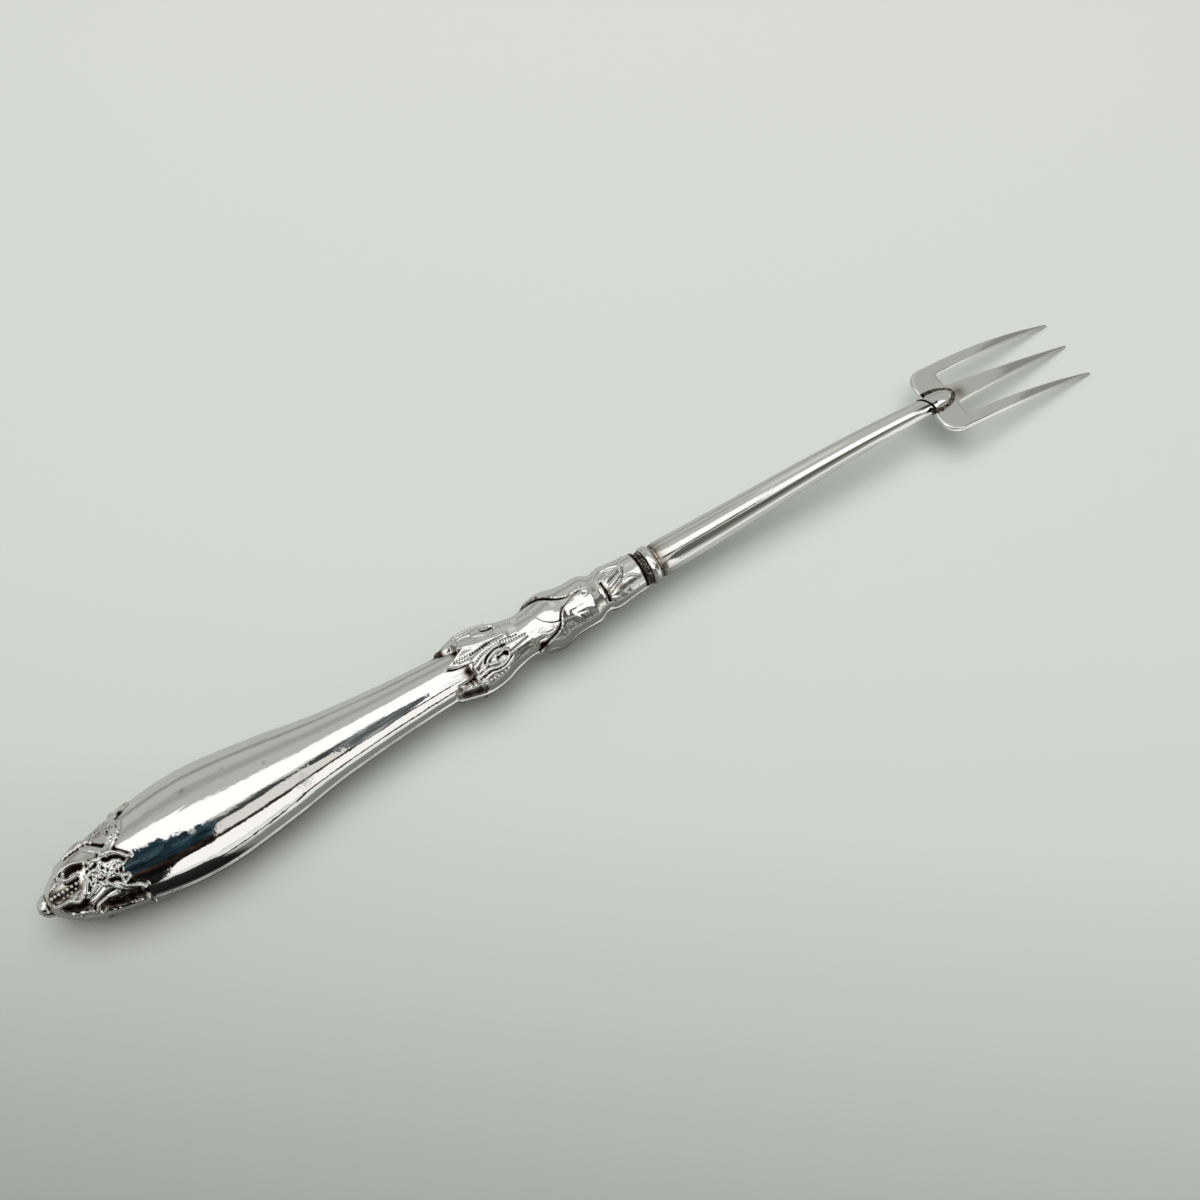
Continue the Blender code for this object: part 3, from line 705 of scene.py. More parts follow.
def as_object(name, points, faces, surface, tarnish=None, sharp=60.0):
    """A smooth-shaded object from points in millimetres on the fork and faces of point numbers."""
    data = bpy.data.meshes.new(name)
    spots = np.asarray(points, float)
    metres = spots * MM + np.array((BUTT, 0.0, AXIS * MM))
    data.from_pydata(metres.tolist(), [], faces)
    mesh = bmesh.new()
    mesh.from_mesh(data)
    bmesh.ops.recalc_face_normals(mesh, faces=mesh.faces)
    mesh.to_mesh(data)
    mesh.free()
    if tarnish is not None:
        shade = data.attributes.new("tarnish", "FLOAT", "POINT")
        shade.data.foreach_set("value", np.asarray(tarnish, np.float32))
    data.shade_smooth()
    data.set_sharp_from_angle(angle=math.radians(sharp))
    data.materials.append(surface)
    return new_object(name, data)


def fit_out(piece, slot, *nodes):
    """Says what a finished piece rides on and which solids it stands for, by hiding them; slot is not used.
    """
    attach(piece, "root")
    if nodes:
        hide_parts(*nodes)


def strip_faces(first, second):
    """Triangles between two rows of point numbers of unlike length."""
    faces = []
    i = j = 0
    while i < len(first) - 1 or j < len(second) - 1:
        ahead = (i + 1) / (len(first) - 1) <= (j + 1) / (len(second) - 1)
        if j == len(second) - 1 or (ahead and i < len(first) - 1):
            faces.append((first[i], first[i + 1], second[j]))
            i += 1
        else:
            faces.append((first[i], second[j + 1], second[j]))
            j += 1
    return faces


def grid_faces(rows):
    """Quads between neighbouring rows of point numbers."""
    faces = []
    for row, following in zip(rows, rows[1:]):
        for i in range(len(row) - 1):
            faces.append((row[i], row[i + 1], following[i + 1], following[i]))
    return faces


def handle_shell(name, node, turned_over):
    """One stamped half of the handle: ornamented skin, plain inner wall and the rims between them."""
    skin, tarnish = skin_points()
    stations = shell_stations()
    angles = np.linspace(-90, 90, WALL_COLUMNS + 1)
    x, angle = np.meshgrid(stations, angles, indexing="ij")
    wide, high = half_sizes(x, np.full(x.shape, -45.0))
    turn = np.radians(angle)
    wall = np.stack((x, (wide - WALL) * np.sin(turn), (high - WALL) * np.cos(turn)), -1)
    points = np.concatenate((skin.reshape(-1, 3), wall.reshape(-1, 3)))
    points[:, 2] += SEAM / 6
    if turned_over:
        points[:, 1:] *= -1
    rows = np.arange(skin.shape[0] * skin.shape[1]).reshape(skin.shape[:2])
    inner = np.arange(wall.shape[0] * wall.shape[1]).reshape(wall.shape[:2]) + rows.size
    faces = grid_faces(rows.tolist()) + grid_faces(inner.tolist())
    for end in (0, -1):
        faces += strip_faces(rows[end].tolist(), inner[end].tolist())
        faces += grid_faces([rows[:, end].tolist(), inner[:, end].tolist()])
    shade = np.concatenate((tarnish.ravel(), np.zeros(inner.size)))
    piece = as_object(name, points, faces, SILVER, shade, sharp=75.0)
    fit_out(piece, "silver", node)


def seam_line(name, node, side):
    """The solder that stands a hair proud between the two halves, along one side."""
    stations = shell_stations()
    wide, _ = half_sizes(stations, np.full(stations.shape, side * 90.0))
    bow = [math.pi * i / 6 for i in range(7)]
    points = []
    for x, skin in zip(stations, wide):
        for turn in bow:
            out = skin - 0.05 + SEAM_PROUD * math.sin(turn)
            points.append((x, side * out, 0.7 * SEAM * math.cos(turn)))
        points.append((x, side * (skin - WALL), -SEAM / 7))
        points.append((x, side * (skin - WALL), SEAM / 7))
    piece = as_object(name, points, ring_faces(len(stations), len(bow) + 2), SOLDER)
    fit_out(piece, "solder", node)


def ring_faces(count, ring):
    """Faces of a closed tube of rings of points, with both ends capped."""
    faces = []
    for k in range(count - 1):
        for i in range(ring):
            j = (i + 1) % ring
            faces.append((k * ring + i, k * ring + j, (k + 1) * ring + j, (k + 1) * ring + i))
    faces.append(tuple(range(ring)))
    faces.append(tuple(range((count - 1) * ring, count * ring)))
    return faces


def turned(name, outline, surface, tarnish=None, sides=72):
    """A solid turned about the axis from (x, radius) points; its two ends are capped."""
    points, shade = [], []
    for number, (x, radius) in enumerate(outline):
        for i in range(sides):
            turn = 2 * math.pi * i / sides
            points.append((x, radius * math.sin(turn), radius * math.cos(turn)))
            shade.append(tarnish[number] if tarnish else 0.0)
    return as_object(name, points, ring_faces(len(outline), sides), surface, shade, sharp=40.0)


def butt_bead():
    """The bead on the butt, with its peg in the shells and dirt in the neck."""
    neck = SHELL_START - 0.05
    last = math.acos((BEAD_RADIUS - neck) / BEAD_RADIUS)
    peg = BODY_OUTLINE[0][1] * HALF_WIDTH - WALL - FIT
    steps = 26
    outline, shade = [], []
    for i in range(steps + 1):
        turn = last * i / steps
        outline.append((BEAD_RADIUS * (1 - math.cos(turn)), max(0.02, BEAD_RADIUS * math.sin(turn))))
        shade.append(0.9 * max(0.0, i / steps - 0.86) / 0.14)
    outline += [(neck, peg), (BEAD_END, peg)]
    piece = turned("butt_bead_silver", outline, SILVER, shade + [1.0, 1.0])
    fit_out(piece, "silver", "butt_bead")


def mouth_cement():
    """The dark band at the handle's mouth: cement pressed out into two lips with a shallow rib between."""
    width = RING_START - SHELL_END
    plug = MOUTH_RADIUS - WALL - FIT
    lips = ((0.04, 0.90), (0.12, 0.985), (0.30, 0.97), (0.40, 0.90), (0.50, 0.93), (0.60, 0.90), (0.70, 0.97),
            (0.88, 0.985), (0.96, 0.90))
    outline = [(SHELL_END - 1.0, BORE_RADIUS), (SHELL_END - 1.0, plug), (SHELL_END + 0.02, plug)]
    outline += [(SHELL_END + width * share, CEMENT_RADIUS * size) for share, size in lips]
    outline += [(RING_START - 0.03, BORE_RADIUS)]
    piece = turned("mouth_cement_band", outline, CEMENT)
    fit_out(piece, "cement", "mouth_cement")


def bolster_ring():
    """The rounded ring in front of the mouth, dirty where it meets its neighbours."""
    half = (RING_END - RING_START) / 2
    swelling = 0.55
    steps = 20
    outline, shade = [(RING_START, BORE_RADIUS)], [1.0]
    for i in range(steps + 1):
        turn = math.pi * i / steps
        swell = math.sin(turn) ** 0.7
        radius = RING_RADIUS - swelling + swelling * swell
        outline.append((RING_START + half - half * math.cos(turn), radius))
        shade.append(0.9 * (1 - swell) ** 2)
    outline.append((RING_END, BORE_RADIUS))
    piece = turned("bolster_ring_silver", outline, SILVER, shade + [1.0])
    fit_out(piece, "silver", "bolster_ring")


def collar_solder():
    """The yellow-brown joint between ring and shank."""
    start, end = RING_END + 0.03, SHANK_START - 0.03
    outline = [(start, BORE_RADIUS), (start, 1.06 * BRAZE_RADIUS), ((start + end) / 2, BRAZE_RADIUS),
               (end, 1.04 * BRAZE_RADIUS), (end, BORE_RADIUS)]
    piece = turned("collar_braze", outline, BRASS)
    fit_out(piece, "brazing", "collar_solder")


def tree_of(name, inputs):
    """A Geometry Nodes tree with named inputs after its geometry; gives the tree and its two end nodes."""
    tree = bpy.data.node_groups.new(name, "GeometryNodeTree")
    tree.interface.new_socket("Geometry", in_out="INPUT", socket_type="NodeSocketGeometry")
    tree.interface.new_socket("Geometry", in_out="OUTPUT", socket_type="NodeSocketGeometry")
    for label, kind in inputs:
        tree.interface.new_socket(label, in_out="INPUT", socket_type=kind)
    return tree, add(tree, "NodeGroupInput"), add(tree, "NodeGroupOutput")


def baked(name, base, tree, values):
    """The plain mesh that a tree makes from a base object; the base is removed."""
    modifier = base.modifiers.new(name, "NODES")
    modifier.node_group = tree
    for item in tree.interface.items_tree:
        if item.in_out == "INPUT" and item.name in values:
            modifier[item.identifier] = values[item.name]
    graph = bpy.context.evaluated_depsgraph_get()
    data = bpy.data.meshes.new_from_object(base.evaluated_get(graph))
    bpy.data.objects.remove(base)
    data.name = name
    return new_object(name, data)


def shank_tree():
    """A round rod swept along a bowed line, tapering from its root to its tip and drawn in at the root."""
    floats = ("Length", "Root Radius", "Tip Radius", "Bow", "Neck")
    tree, start, end = tree_of("shank_sweep", [(label, "NodeSocketFloat") for label in floats]
                               + [("Surface", "NodeSocketMaterial")])
    sizes = start.outputs
    tip = add(tree, "ShaderNodeCombineXYZ", {"X": sizes["Length"]})
    line = add(tree, "GeometryNodeCurvePrimitiveLine", {"End": tip})
    rings = add(tree, "GeometryNodeResampleCurve", {"Curve": line, "Count": 160})
    share = add(tree, "GeometryNodeSplineParameter").outputs["Factor"]
    square = add(tree, "ShaderNodeMath", {0: share, 1: share}, operation="MULTIPLY")
    rest = add(tree, "ShaderNodeMath", {0: 1.0, 1: share}, operation="SUBTRACT")
    hump = add(tree, "ShaderNodeMath", {0: square, 1: rest}, operation="MULTIPLY")
    peak = add(tree, "ShaderNodeMath", {0: sizes["Bow"], 1: BOW_SCALE}, operation="MULTIPLY")
    rise = add(tree, "ShaderNodeMath", {0: hump, 1: peak}, operation="MULTIPLY")
    offset = add(tree, "ShaderNodeCombineXYZ", {"Z": rise})
    bowed = add(tree, "GeometryNodeSetPosition", {"Geometry": rings, "Offset": offset})
    taper = add(tree, "ShaderNodeMapRange", {0: share, 3: sizes["Root Radius"], 4: sizes["Tip Radius"]})
    fall = add(tree, "ShaderNodeMath", {0: share, 1: -70.0}, operation="MULTIPLY")
    near_root = add(tree, "ShaderNodeMath", {0: fall}, operation="EXPONENT")
    neck = add(tree, "ShaderNodeMath", {0: near_root, 1: sizes["Neck"]}, operation="MULTIPLY")
    drawn = add(tree, "ShaderNodeMath", {0: 1.0, 1: neck}, operation="SUBTRACT")
    radius = add(tree, "ShaderNodeMath", {0: taper, 1: drawn}, operation="MULTIPLY")
    marked = add(tree, "GeometryNodeCaptureAttribute", {"Geometry": bowed}, domain="POINT")
    marked.capture_items.new("FLOAT", "root")
    connect(tree, marked, {1: near_root})
    stain = add(tree, "ShaderNodeMath", {0: marked.outputs[1], 1: 0.55}, operation="MULTIPLY")
    section = add(tree, "GeometryNodeCurvePrimitiveCircle", {"Resolution": 64, "Radius": 1.0})
    rod = add(tree, "GeometryNodeCurveToMesh", {"Curve": marked, "Profile Curve": section, "Scale": radius,
                                                "Fill Caps": True})
    stained = add(tree, "GeometryNodeStoreNamedAttribute",
                  {"Geometry": rod, "Name": "tarnish", "Value": stain}, domain="POINT")
    real = add(tree, "GeometryNodeRealizeInstances", {0: stained})
    painted = add(tree, "GeometryNodeSetMaterial", {"Geometry": real, "Material": sizes["Surface"]})
    connect(tree, end, {0: painted})
    return tree


def shank():
    """The bowed shank up to the crack where its tongue begins."""
    base = new_object("shank_base", bpy.data.meshes.new("shank_base"))
    values = {"Length": (BOW_END - SHANK_START) * MM, "Root Radius": SHANK_ROOT_RADIUS * MM,
              "Tip Radius": SHANK_TIP_RADIUS * MM, "Bow": SHANK_BOW * MM, "Neck": SHANK_NECK,
              "Surface": DRAWN_SILVER}
    piece = baked("shank_silver", base, shank_tree(), values)
    piece.data.transform(Matrix.Translation(place(SHANK_START, 0, 0)))
    piece.data.shade_smooth()
    piece.data.set_sharp_from_angle(angle=math.radians(50))
    fit_out(piece, "silver", "shank")


def bead_tree():
    """Half-sunk beads at an even pitch along every spline of the base."""
    tree, start, end = tree_of("bead_rows", (("Pitch", "NodeSocketFloat"), ("Radius", "NodeSocketFloat"),
                                             ("Unevenness", "NodeSocketFloat"), ("Seed", "NodeSocketInt"),
                                             ("Surface", "NodeSocketMaterial")))
    sizes = start.outputs
    stops = add(tree, "GeometryNodeResampleCurve", {"Curve": sizes["Geometry"], "Length": sizes["Pitch"]},
                mode="LENGTH")
    bead = add(tree, "GeometryNodeMeshIcoSphere", {"Radius": sizes["Radius"], "Subdivisions": 2})
    least = add(tree, "ShaderNodeMath", {0: 1.0, 1: sizes["Unevenness"]}, operation="SUBTRACT")
    vary = add(tree, "FunctionNodeRandomValue", {2: least, 3: 1.0, "Seed": sizes["Seed"]}, data_type="FLOAT")
    beads = add(tree, "GeometryNodeInstanceOnPoints", {"Points": stops, "Instance": bead,
                                                       "Scale": vary.outputs[1]})
    real = add(tree, "GeometryNodeRealizeInstances", {0: beads})
    smooth = add(tree, "GeometryNodeSetShadeSmooth", {"Geometry": real})
    painted = add(tree, "GeometryNodeSetMaterial", {"Geometry": smooth, "Material": sizes["Surface"]})
    connect(tree, end, {0: painted})
    return tree


def bead_rows(name, tree, paths, pitch, radius, turned_over):
    """Rows of beads on the skin of one half of the handle."""
    line = bpy.data.curves.new(name, "CURVE")
    line.dimensions = "3D"
    for path in paths:
        lift = FOLIAGE_THICKNESS if path[0][0] < BELLY_START else 0.0
        spots = [skin_point(x, angle, lift) for x, angle in curve_through(path)]
        if turned_over:
            spots = [Vector((p.x, -p.y, -p.z)) for p in spots]
        spline = line.splines.new("POLY")
        spline.points.add(len(spots) - 1)
        for point, spot in zip(spline.points, spots):
            point.co = (*place(*spot), 1.0)
    values = {"Pitch": pitch * MM, "Radius": radius * MM, "Unevenness": 0.2, "Seed": 3, "Surface": SILVER}
    piece = baked(name, new_object(name + "_line", line), tree, values)
    fit_out(piece, "silver")


def beading():
    """All rows of beads, one object for each size on each half."""
    tree = bead_tree()
    groups = {}
    for path, pitch, radius in BUTT_BEADS:
        groups.setdefault((pitch, radius), []).append(path)
    for path, pitch, radius in THROAT_BEADS:
        groups.setdefault((pitch, radius), []).extend((path, mirrored(path)))
    for half in ("upper", "lower"):
        for number, ((pitch, radius), paths) in enumerate(groups.items()):
            bead_rows(f"beads_{half}_{number}", tree, paths, pitch, radius, half == "lower")


def heel_plane(x):
    return HEEL_SLOPE * (x - BOW_END)


def plate_height(x):
    """Height of the head's middle surface over the axis: flat heel, then tines curving down to the table."""
    fall = -AXIS + TIP_THICKNESS / 2 - heel_plane(TINE_END)
    along = max(0.0, x - SLOT_X) / TINE_LENGTH
    return heel_plane(x) + fall * along ** 2


def tine_edges(side, share):
    """Both long edges of a tine; side is +1, 0 or -1 along Y."""
    if side == 0:
        half = MIDDLE_TINE_WIDTH / 2 + (TIP_WIDTH - MIDDLE_TINE_WIDTH) / 2 * share ** 0.9
        return -half, half
    root_in = MIDDLE_TINE_WIDTH / 2 + SLOT_WIDTH
    root_width = HEAD_HALF_WIDTH - root_in
    half = root_width / 2 + (TIP_WIDTH - root_width) / 2 * share ** 1.7
    splay = TINE_SPLAY * share * (2 - share)
    middle = side * (root_in + root_width / 2 + splay) - TIP_LEAN * share ** 3
    return middle - half, middle + half


def heel_half_width(x):
    """Half width of the heel, with rounded shoulders."""
    corner = min(0.43 * HEAD_HALF_WIDTH, 0.6 * LAP)
    inset = max(0.0, 1 - (x - HEEL_START) / corner)
    return HEAD_HALF_WIDTH - corner + corner * math.sqrt(1 - inset * inset)


def edge_round(x):
    """Radius of the head's rounded edges at this place, less where the tines get narrow and thin."""
    share = max(0.0, (x - SLOT_X) / TINE_LENGTH)
    low, high = tine_edges(1, share)
    return min(EDGE_ROUND, 0.3 * (high - low), 0.42 * plate_thickness(x))


def plate_thickness(x):
    return PLATE + (TIP_THICKNESS - PLATE) * max(0.0, (x - SLOT_X) / TINE_LENGTH)


def edge_distance(spots, edges):
    """Distance in plan from every spot to the nearest of the edges, given as pairs of spot numbers."""
    best = np.full(len(spots), np.inf)
    for i, j in edges:
        along = spots[j] - spots[i]
        share = np.clip((spots - spots[i]) @ along / (along @ along), 0, 1)
        best = np.minimum(best, np.linalg.norm(spots - spots[i] - share[:, None] * along, axis=1))
    return best


# Shares of the width and of the heel's length where the head has points, close together by its edges
EDGE_SHARES = (0.0, 0.04, 0.10, 0.18, 0.5, 0.82, 0.90, 0.96, 1.0)
HEEL_SHARES = (0.0, 0.006, 0.02, 0.04, 0.07, 0.12, 0.18, 0.26, 0.36, 0.46, 0.56, 0.7, 0.85, 0.93, 0.955,
               0.975, 0.99, 1.0)


def fork_head():
    """The sheet head with its three tines and rounded edges, stained by the soldering."""
    spots, quads = [], []

    def add_row(x, values):
        first = len(spots)
        spots.extend((x, y) for y in values)
        return list(range(first, len(spots)))

    def spread(low, high):
        return [low + (high - low) * share for share in EDGE_SHARES]

    tine_y = [edge for side in (-1, 0, 1) for edge in tine_edges(side, 0.0)]
    across = [y for low, high in zip(tine_y, tine_y[1:]) for y in spread(low, high)[:-1]] + [tine_y[-1]]
    rows = []
    for share in HEEL_SHARES:
        x = HEEL_START + LAP * share
        scale = heel_half_width(x) / HEAD_HALF_WIDTH
        rows.append(add_row(x, [y * scale for y in across]))
    quads += grid_faces(rows)
    steps = 60
    columns = len(EDGE_SHARES)
    for number, side in enumerate((-1, 0, 1)):
        first = 2 * number * (columns - 1)
        run = [rows[-1][first:first + columns]]
        for step in range(1, steps + 1):
            run.append(add_row(SLOT_X + TINE_LENGTH * step / steps, spread(*tine_edges(side, step / steps))))
        quads += grid_faces(run)
    uses = {}
    for quad in quads:
        for pair in zip(quad, quad[1:] + quad[:1]):
            uses.setdefault(frozenset(pair), []).append(pair)
    rim = [pairs[0] for pairs in uses.values() if len(pairs) == 1]
    distance = edge_distance(np.array(spots), rim)
    top, under, stain = [], [], []
    for (x, y), gap in zip(spots, distance):
        radius = edge_round(x)
        inset = max(0.0, radius - gap)
        half = plate_thickness(x) / 2 - radius + math.sqrt(radius ** 2 - inset ** 2)
        top.append((x, y, plate_height(x) + half))
        under.append((x, y, plate_height(x) - half))
        stain.append(0.6 * math.exp(-((x - SLOT_X - 1.2) / 1.3) ** 2 - ((y + 0.4) / 1.0) ** 2))
    count = len(spots)
    faces = list(quads)
    faces += [tuple(count + i for i in reversed(quad)) for quad in quads]
    faces += [(j, i, count + i, count + j) for i, j in rim]
    piece = as_object("fork_head_silver", top + under, faces, DRAWN_SILVER, stain + stain)
    fit_out(piece, "silver", "fork_head")


def tongue():
    """The shank's flattened end over the head: a grey far facet and a narrow bright one on the near side."""
    start, end = HEEL_START - 0.6, SLOT_X - 0.2
    points = []
    steps = 28
    for i in range(steps + 1):
        share = i / steps
        x = start + (end - start) * share
        bulge = math.sqrt(max(0.0, 1 - share ** 4)) * min(1.0, 0.75 + 1.2 * share)
        far, near = max(0.05, TONGUE_FAR * bulge), max(0.05, TONGUE_NEAR * bulge)
        base = heel_plane(x) + PLATE / 2 + 0.02
        top = TONGUE_HEIGHT - TONGUE_FALL * share
        section = ((far, 0.0), (far, 0.35 * top), (0.92 * far, 0.5 * top), (-0.28 * near, top),
                   (-0.40 * near, 0.98 * top), (-0.92 * near, 0.42 * top), (-near, 0.25 * top), (-near, 0.0))
        points += [(x, y, base + z) for y, z in section]
    piece = as_object("shank_tongue", points, ring_faces(steps + 1, len(section)), DRAWN_SILVER, sharp=35.0)
    fit_out(piece, "silver")


def tube(path, wide, tall, sides):
    """Points of a flattened tube along a path on the heel, standing on its upper face."""
    points = []
    for number, (x, y) in enumerate(path):
        before, after = path[max(0, number - 1)], path[min(len(path) - 1, number + 1)]
        along = (after - before) / np.linalg.norm(after - before)
        out = np.array((along[1], -along[0]))
        for i in range(sides):
            turn = 2 * math.pi * i / sides
            px, py = np.array((x, y)) + out * wide[number] * math.cos(turn)
            rise = tall[number] * max(0.0, math.sin(turn)) + 0.02 * min(0.0, math.sin(turn))
            points.append((px, py, heel_plane(px) + PLATE / 2 + 0.03 + rise))
    return points


def head_solder():
    """Old solder in a lumpy band round the tongue, thick on the near side of the crack and black there with
    flux and painted shade.
    """
    lumps = np.random.default_rng(5)
    start = HEEL_START
    sides = 10
    path = curve_through((
        (start - 0.3, -1.5), (start + 0.7, -1.75), (start + 2.2, -1.85), (start + 4.0, -1.45),
        (SLOT_X + 0.1, -0.4), (SLOT_X + 0.1, 0.7), (start + 4.3, 1.5), (start + 2.6, 1.95),
        (start + 1.1, 2.1), (start + 0.1, 2.0),
    ), 8)
    share = np.linspace(0, 1, len(path))
    clot = np.clip(1 - 6 * share, 0, 1)
    far_side = smooth_step((share - 0.62) / 0.2)
    # Black for dark flux, and at the clot by the crack also painted shade in the gap
    flux = np.clip(clot + 0.05 + 0.45 * far_side + 0.5 * smooth_step((share - 0.9) / 0.06), 0, 1)
    wide = BAND_HALF_WIDTH + CLOT_HALF_WIDTH * clot + 0.04 * far_side
    wide *= lumps.uniform(0.55, 1.3, len(path))
    tall = BAND_HEIGHT + CLOT_HEIGHT * clot
    tall *= lumps.uniform(0.6, 1.3, len(path))
    points = tube(path, wide, tall, sides)
    piece = as_object("head_braze", points, ring_faces(len(path), sides), BURNT, np.repeat(flux, sides))
    fit_out(piece, "brazing", "head_solder")


def shank_crack():
    """The oblique crack where the rod meets its flattened tongue: a band painted black all over as the shade
    in the gap.
    """
    rings, sides = 48, 8
    points = []
    for k in range(rings):
        around = 2 * math.pi * k / rings
        x = HEEL_START - 0.2 - CRACK_SLANT * math.sin(around)
        share = (x - SHANK_START) / (BOW_END - SHANK_START)
        middle = BOW_SCALE * SHANK_BOW * share ** 2 * (1 - share)
        for i in range(sides):
            turn = 2 * math.pi * i / sides
            out = SHANK_TIP_RADIUS + 0.03 + CRACK_HALF_DEPTH * math.cos(turn)
            lift = middle + out * math.cos(around)
            points.append((x + CRACK_HALF_WIDTH * math.sin(turn), out * math.sin(around), lift))
    faces = []
    for k in range(rings):
        for i in range(sides):
            a, b = k * sides, (k + 1) % rings * sides
            j = (i + 1) % sides
            faces.append((a + i, a + j, b + j, b + i))
    # Painted shade: the whole band is black
    piece = as_object("shank_crack", points, faces, BURNT, np.ones(len(points)))
    fit_out(piece, "brazing")


def hidden_metal():
    """Finishes of the solids inside the handle."""
    for node, surface in (("pitch_core", pitch_filling()), ("tang", drawn_steel())):
        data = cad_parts[node].data
        data.materials.clear()
        data.materials.append(surface)


# The camera: where it looks, in millimetres from the frame's origin, and how it is held
LOOK_AT = (1.49, 2.03, 0.0)
VIEW_DISTANCE = 256.29
VIEW_BEARING = math.radians(27.01)
VIEW_ELEVATION = math.radians(64.72)
VIEW_ROLL = math.radians(-4.885)
LENS = 45.0
SENSOR = 36.0


def camera():
    level = Vector((math.cos(VIEW_BEARING), -math.sin(VIEW_BEARING), 0))
    ahead = Vector((math.sin(VIEW_BEARING), math.cos(VIEW_BEARING), 0))
    upright = Vector((0, 0, 1))
    rise = ahead * math.sin(VIEW_ELEVATION) + upright * math.cos(VIEW_ELEVATION)
    sight = ahead * math.cos(VIEW_ELEVATION) - upright * math.sin(VIEW_ELEVATION)
    right = level * math.cos(VIEW_ROLL) + rise * math.sin(VIEW_ROLL)
    up = rise * math.cos(VIEW_ROLL) - level * math.sin(VIEW_ROLL)
    lens = bpy.data.cameras.new("camera")
    lens.lens = LENS
    lens.sensor_width = SENSOR
    lens.sensor_height = SENSOR
    lens.clip_start = 0.01
    eye = new_object("camera", lens)
    turn = Matrix((right, up, -sight)).transposed().to_4x4()
    eye.matrix_world = Matrix.Translation((Vector(LOOK_AT) - sight * VIEW_DISTANCE) * MM) @ turn
    bpy.context.scene.camera = eye


PALE = "#D8DBD6"
# Tones of the table by shares: towards the far side as the eye sees it, with painted shade on the near side,
# and along the fork as the silver sees it, painted reflections
FLOOR_TONES = ((0.0, "#9DA09B"), (0.17, "#C0C3BE"), (0.30, "#D0D4CE"), (0.45, "#D4D8D2"), (1.0, "#DADCD8"))
MIRRORED_TONES = (
    (0.30, "#7E807C"), (0.40, "#70726E"), (0.54, "#70726E"), (0.62, "#B9BBB7"), (0.80, "#BBBDB9"),
    (0.84, "#F0F2EE"), (0.94, "#F0F2EE"), (0.98, "#A8A9A5"),
)
# Places on the table in metres: where its painted shade towards the near side starts and ends, how far out it
# turns to an even tone, and how far out to the backdrop
TABLE_HALF = 2.0
SHADE_REACH = (-0.11, 0.15)
EVEN_REACH = (0.14, 0.26)
BACKDROP_REACH = (0.22, 0.50)
# Places on the table that the silver mirrors, all painted reflections: the grey by the fork, painted shadow;
# the far side; the dark edge, which bends off past the belly; and the black corner by the butt, painted shade
NEAR_GREY = (-0.036, -0.024)
FAR_GREY = (-0.006, 0.014)
EDGE_BEND = -0.058
EDGE_SLOPE = -3.1
EDGE_OFF = -0.044
EDGE_REACH = (-0.20, -0.043)
CORNER_SLANT = -0.22
CORNER_ALONG = (-0.30, -0.064)
CORNER_ACROSS = (-0.095, -0.013)


def mirrored_table(tree, spot):
    """Painted reflections of the table for mirror rays: grey shade by the fork, white off from it, a dark
    edge, a black corner.
    """
    sides = add(tree, "ShaderNodeSeparateXYZ", {0: spot}).outputs
    along_fork = add(tree, "ShaderNodeMapRange", {0: sides["X"], 1: -0.10, 2: 0.10})
    by_fork = add(tree, "ShaderNodeValToRGB", {"Fac": along_fork}, MIRRORED_TONES)
    close, far_side = (
        add(tree, "ShaderNodeMapRange", {0: sides["Y"], 1: start, 2: end}, interpolation_type="SMOOTHSTEP")
        for start, end in (NEAR_GREY, FAR_GREY))
    past_bend = add(tree, "ShaderNodeMath", {0: sides["X"], 1: -EDGE_BEND}, operation="ADD")
    past = add(tree, "ShaderNodeMath", {0: past_bend, 1: 0.0}, operation="MAXIMUM")
    edge = add(tree, "ShaderNodeMath", {0: past, 1: EDGE_SLOPE, 2: EDGE_OFF}, operation="MULTIPLY_ADD")
    to_edge = add(tree, "ShaderNodeMath", {0: sides["Y"], 1: edge}, operation="DIVIDE")
    on_edge = between(tree, to_edge, 0.86, 1.14, 0.05)
    by_belly = between(tree, sides["X"], *EDGE_REACH, 0.003)
    short_edge = add(tree, "ShaderNodeMath", {0: on_edge, 1: by_belly}, operation="MULTIPLY")
    slanted = add(tree, "ShaderNodeMath", {0: sides["Y"], 1: CORNER_SLANT, 2: sides["X"]},
                  operation="MULTIPLY_ADD")
    by_butt = between(tree, slanted, *CORNER_ALONG, 0.0025)
    near_side = between(tree, sides["Y"], *CORNER_ACROSS, 0.003)
    corner = add(tree, "ShaderNodeMath", {0: by_butt, 1: near_side}, operation="MULTIPLY")
    # Painted shade and reflections, seen by mirror rays only
    seen = srgb("#EDEEEA")
    for share, tone in ((close, by_fork), (short_edge, srgb("#1A1817")), (corner, srgb("#0D0B0B")),
                        (far_side, srgb("#B3B6B1"))):
        seen = add(tree, "ShaderNodeMix", {0: share, 6: seen, 7: tone}, data_type="RGBA").outputs[2]
    return seen


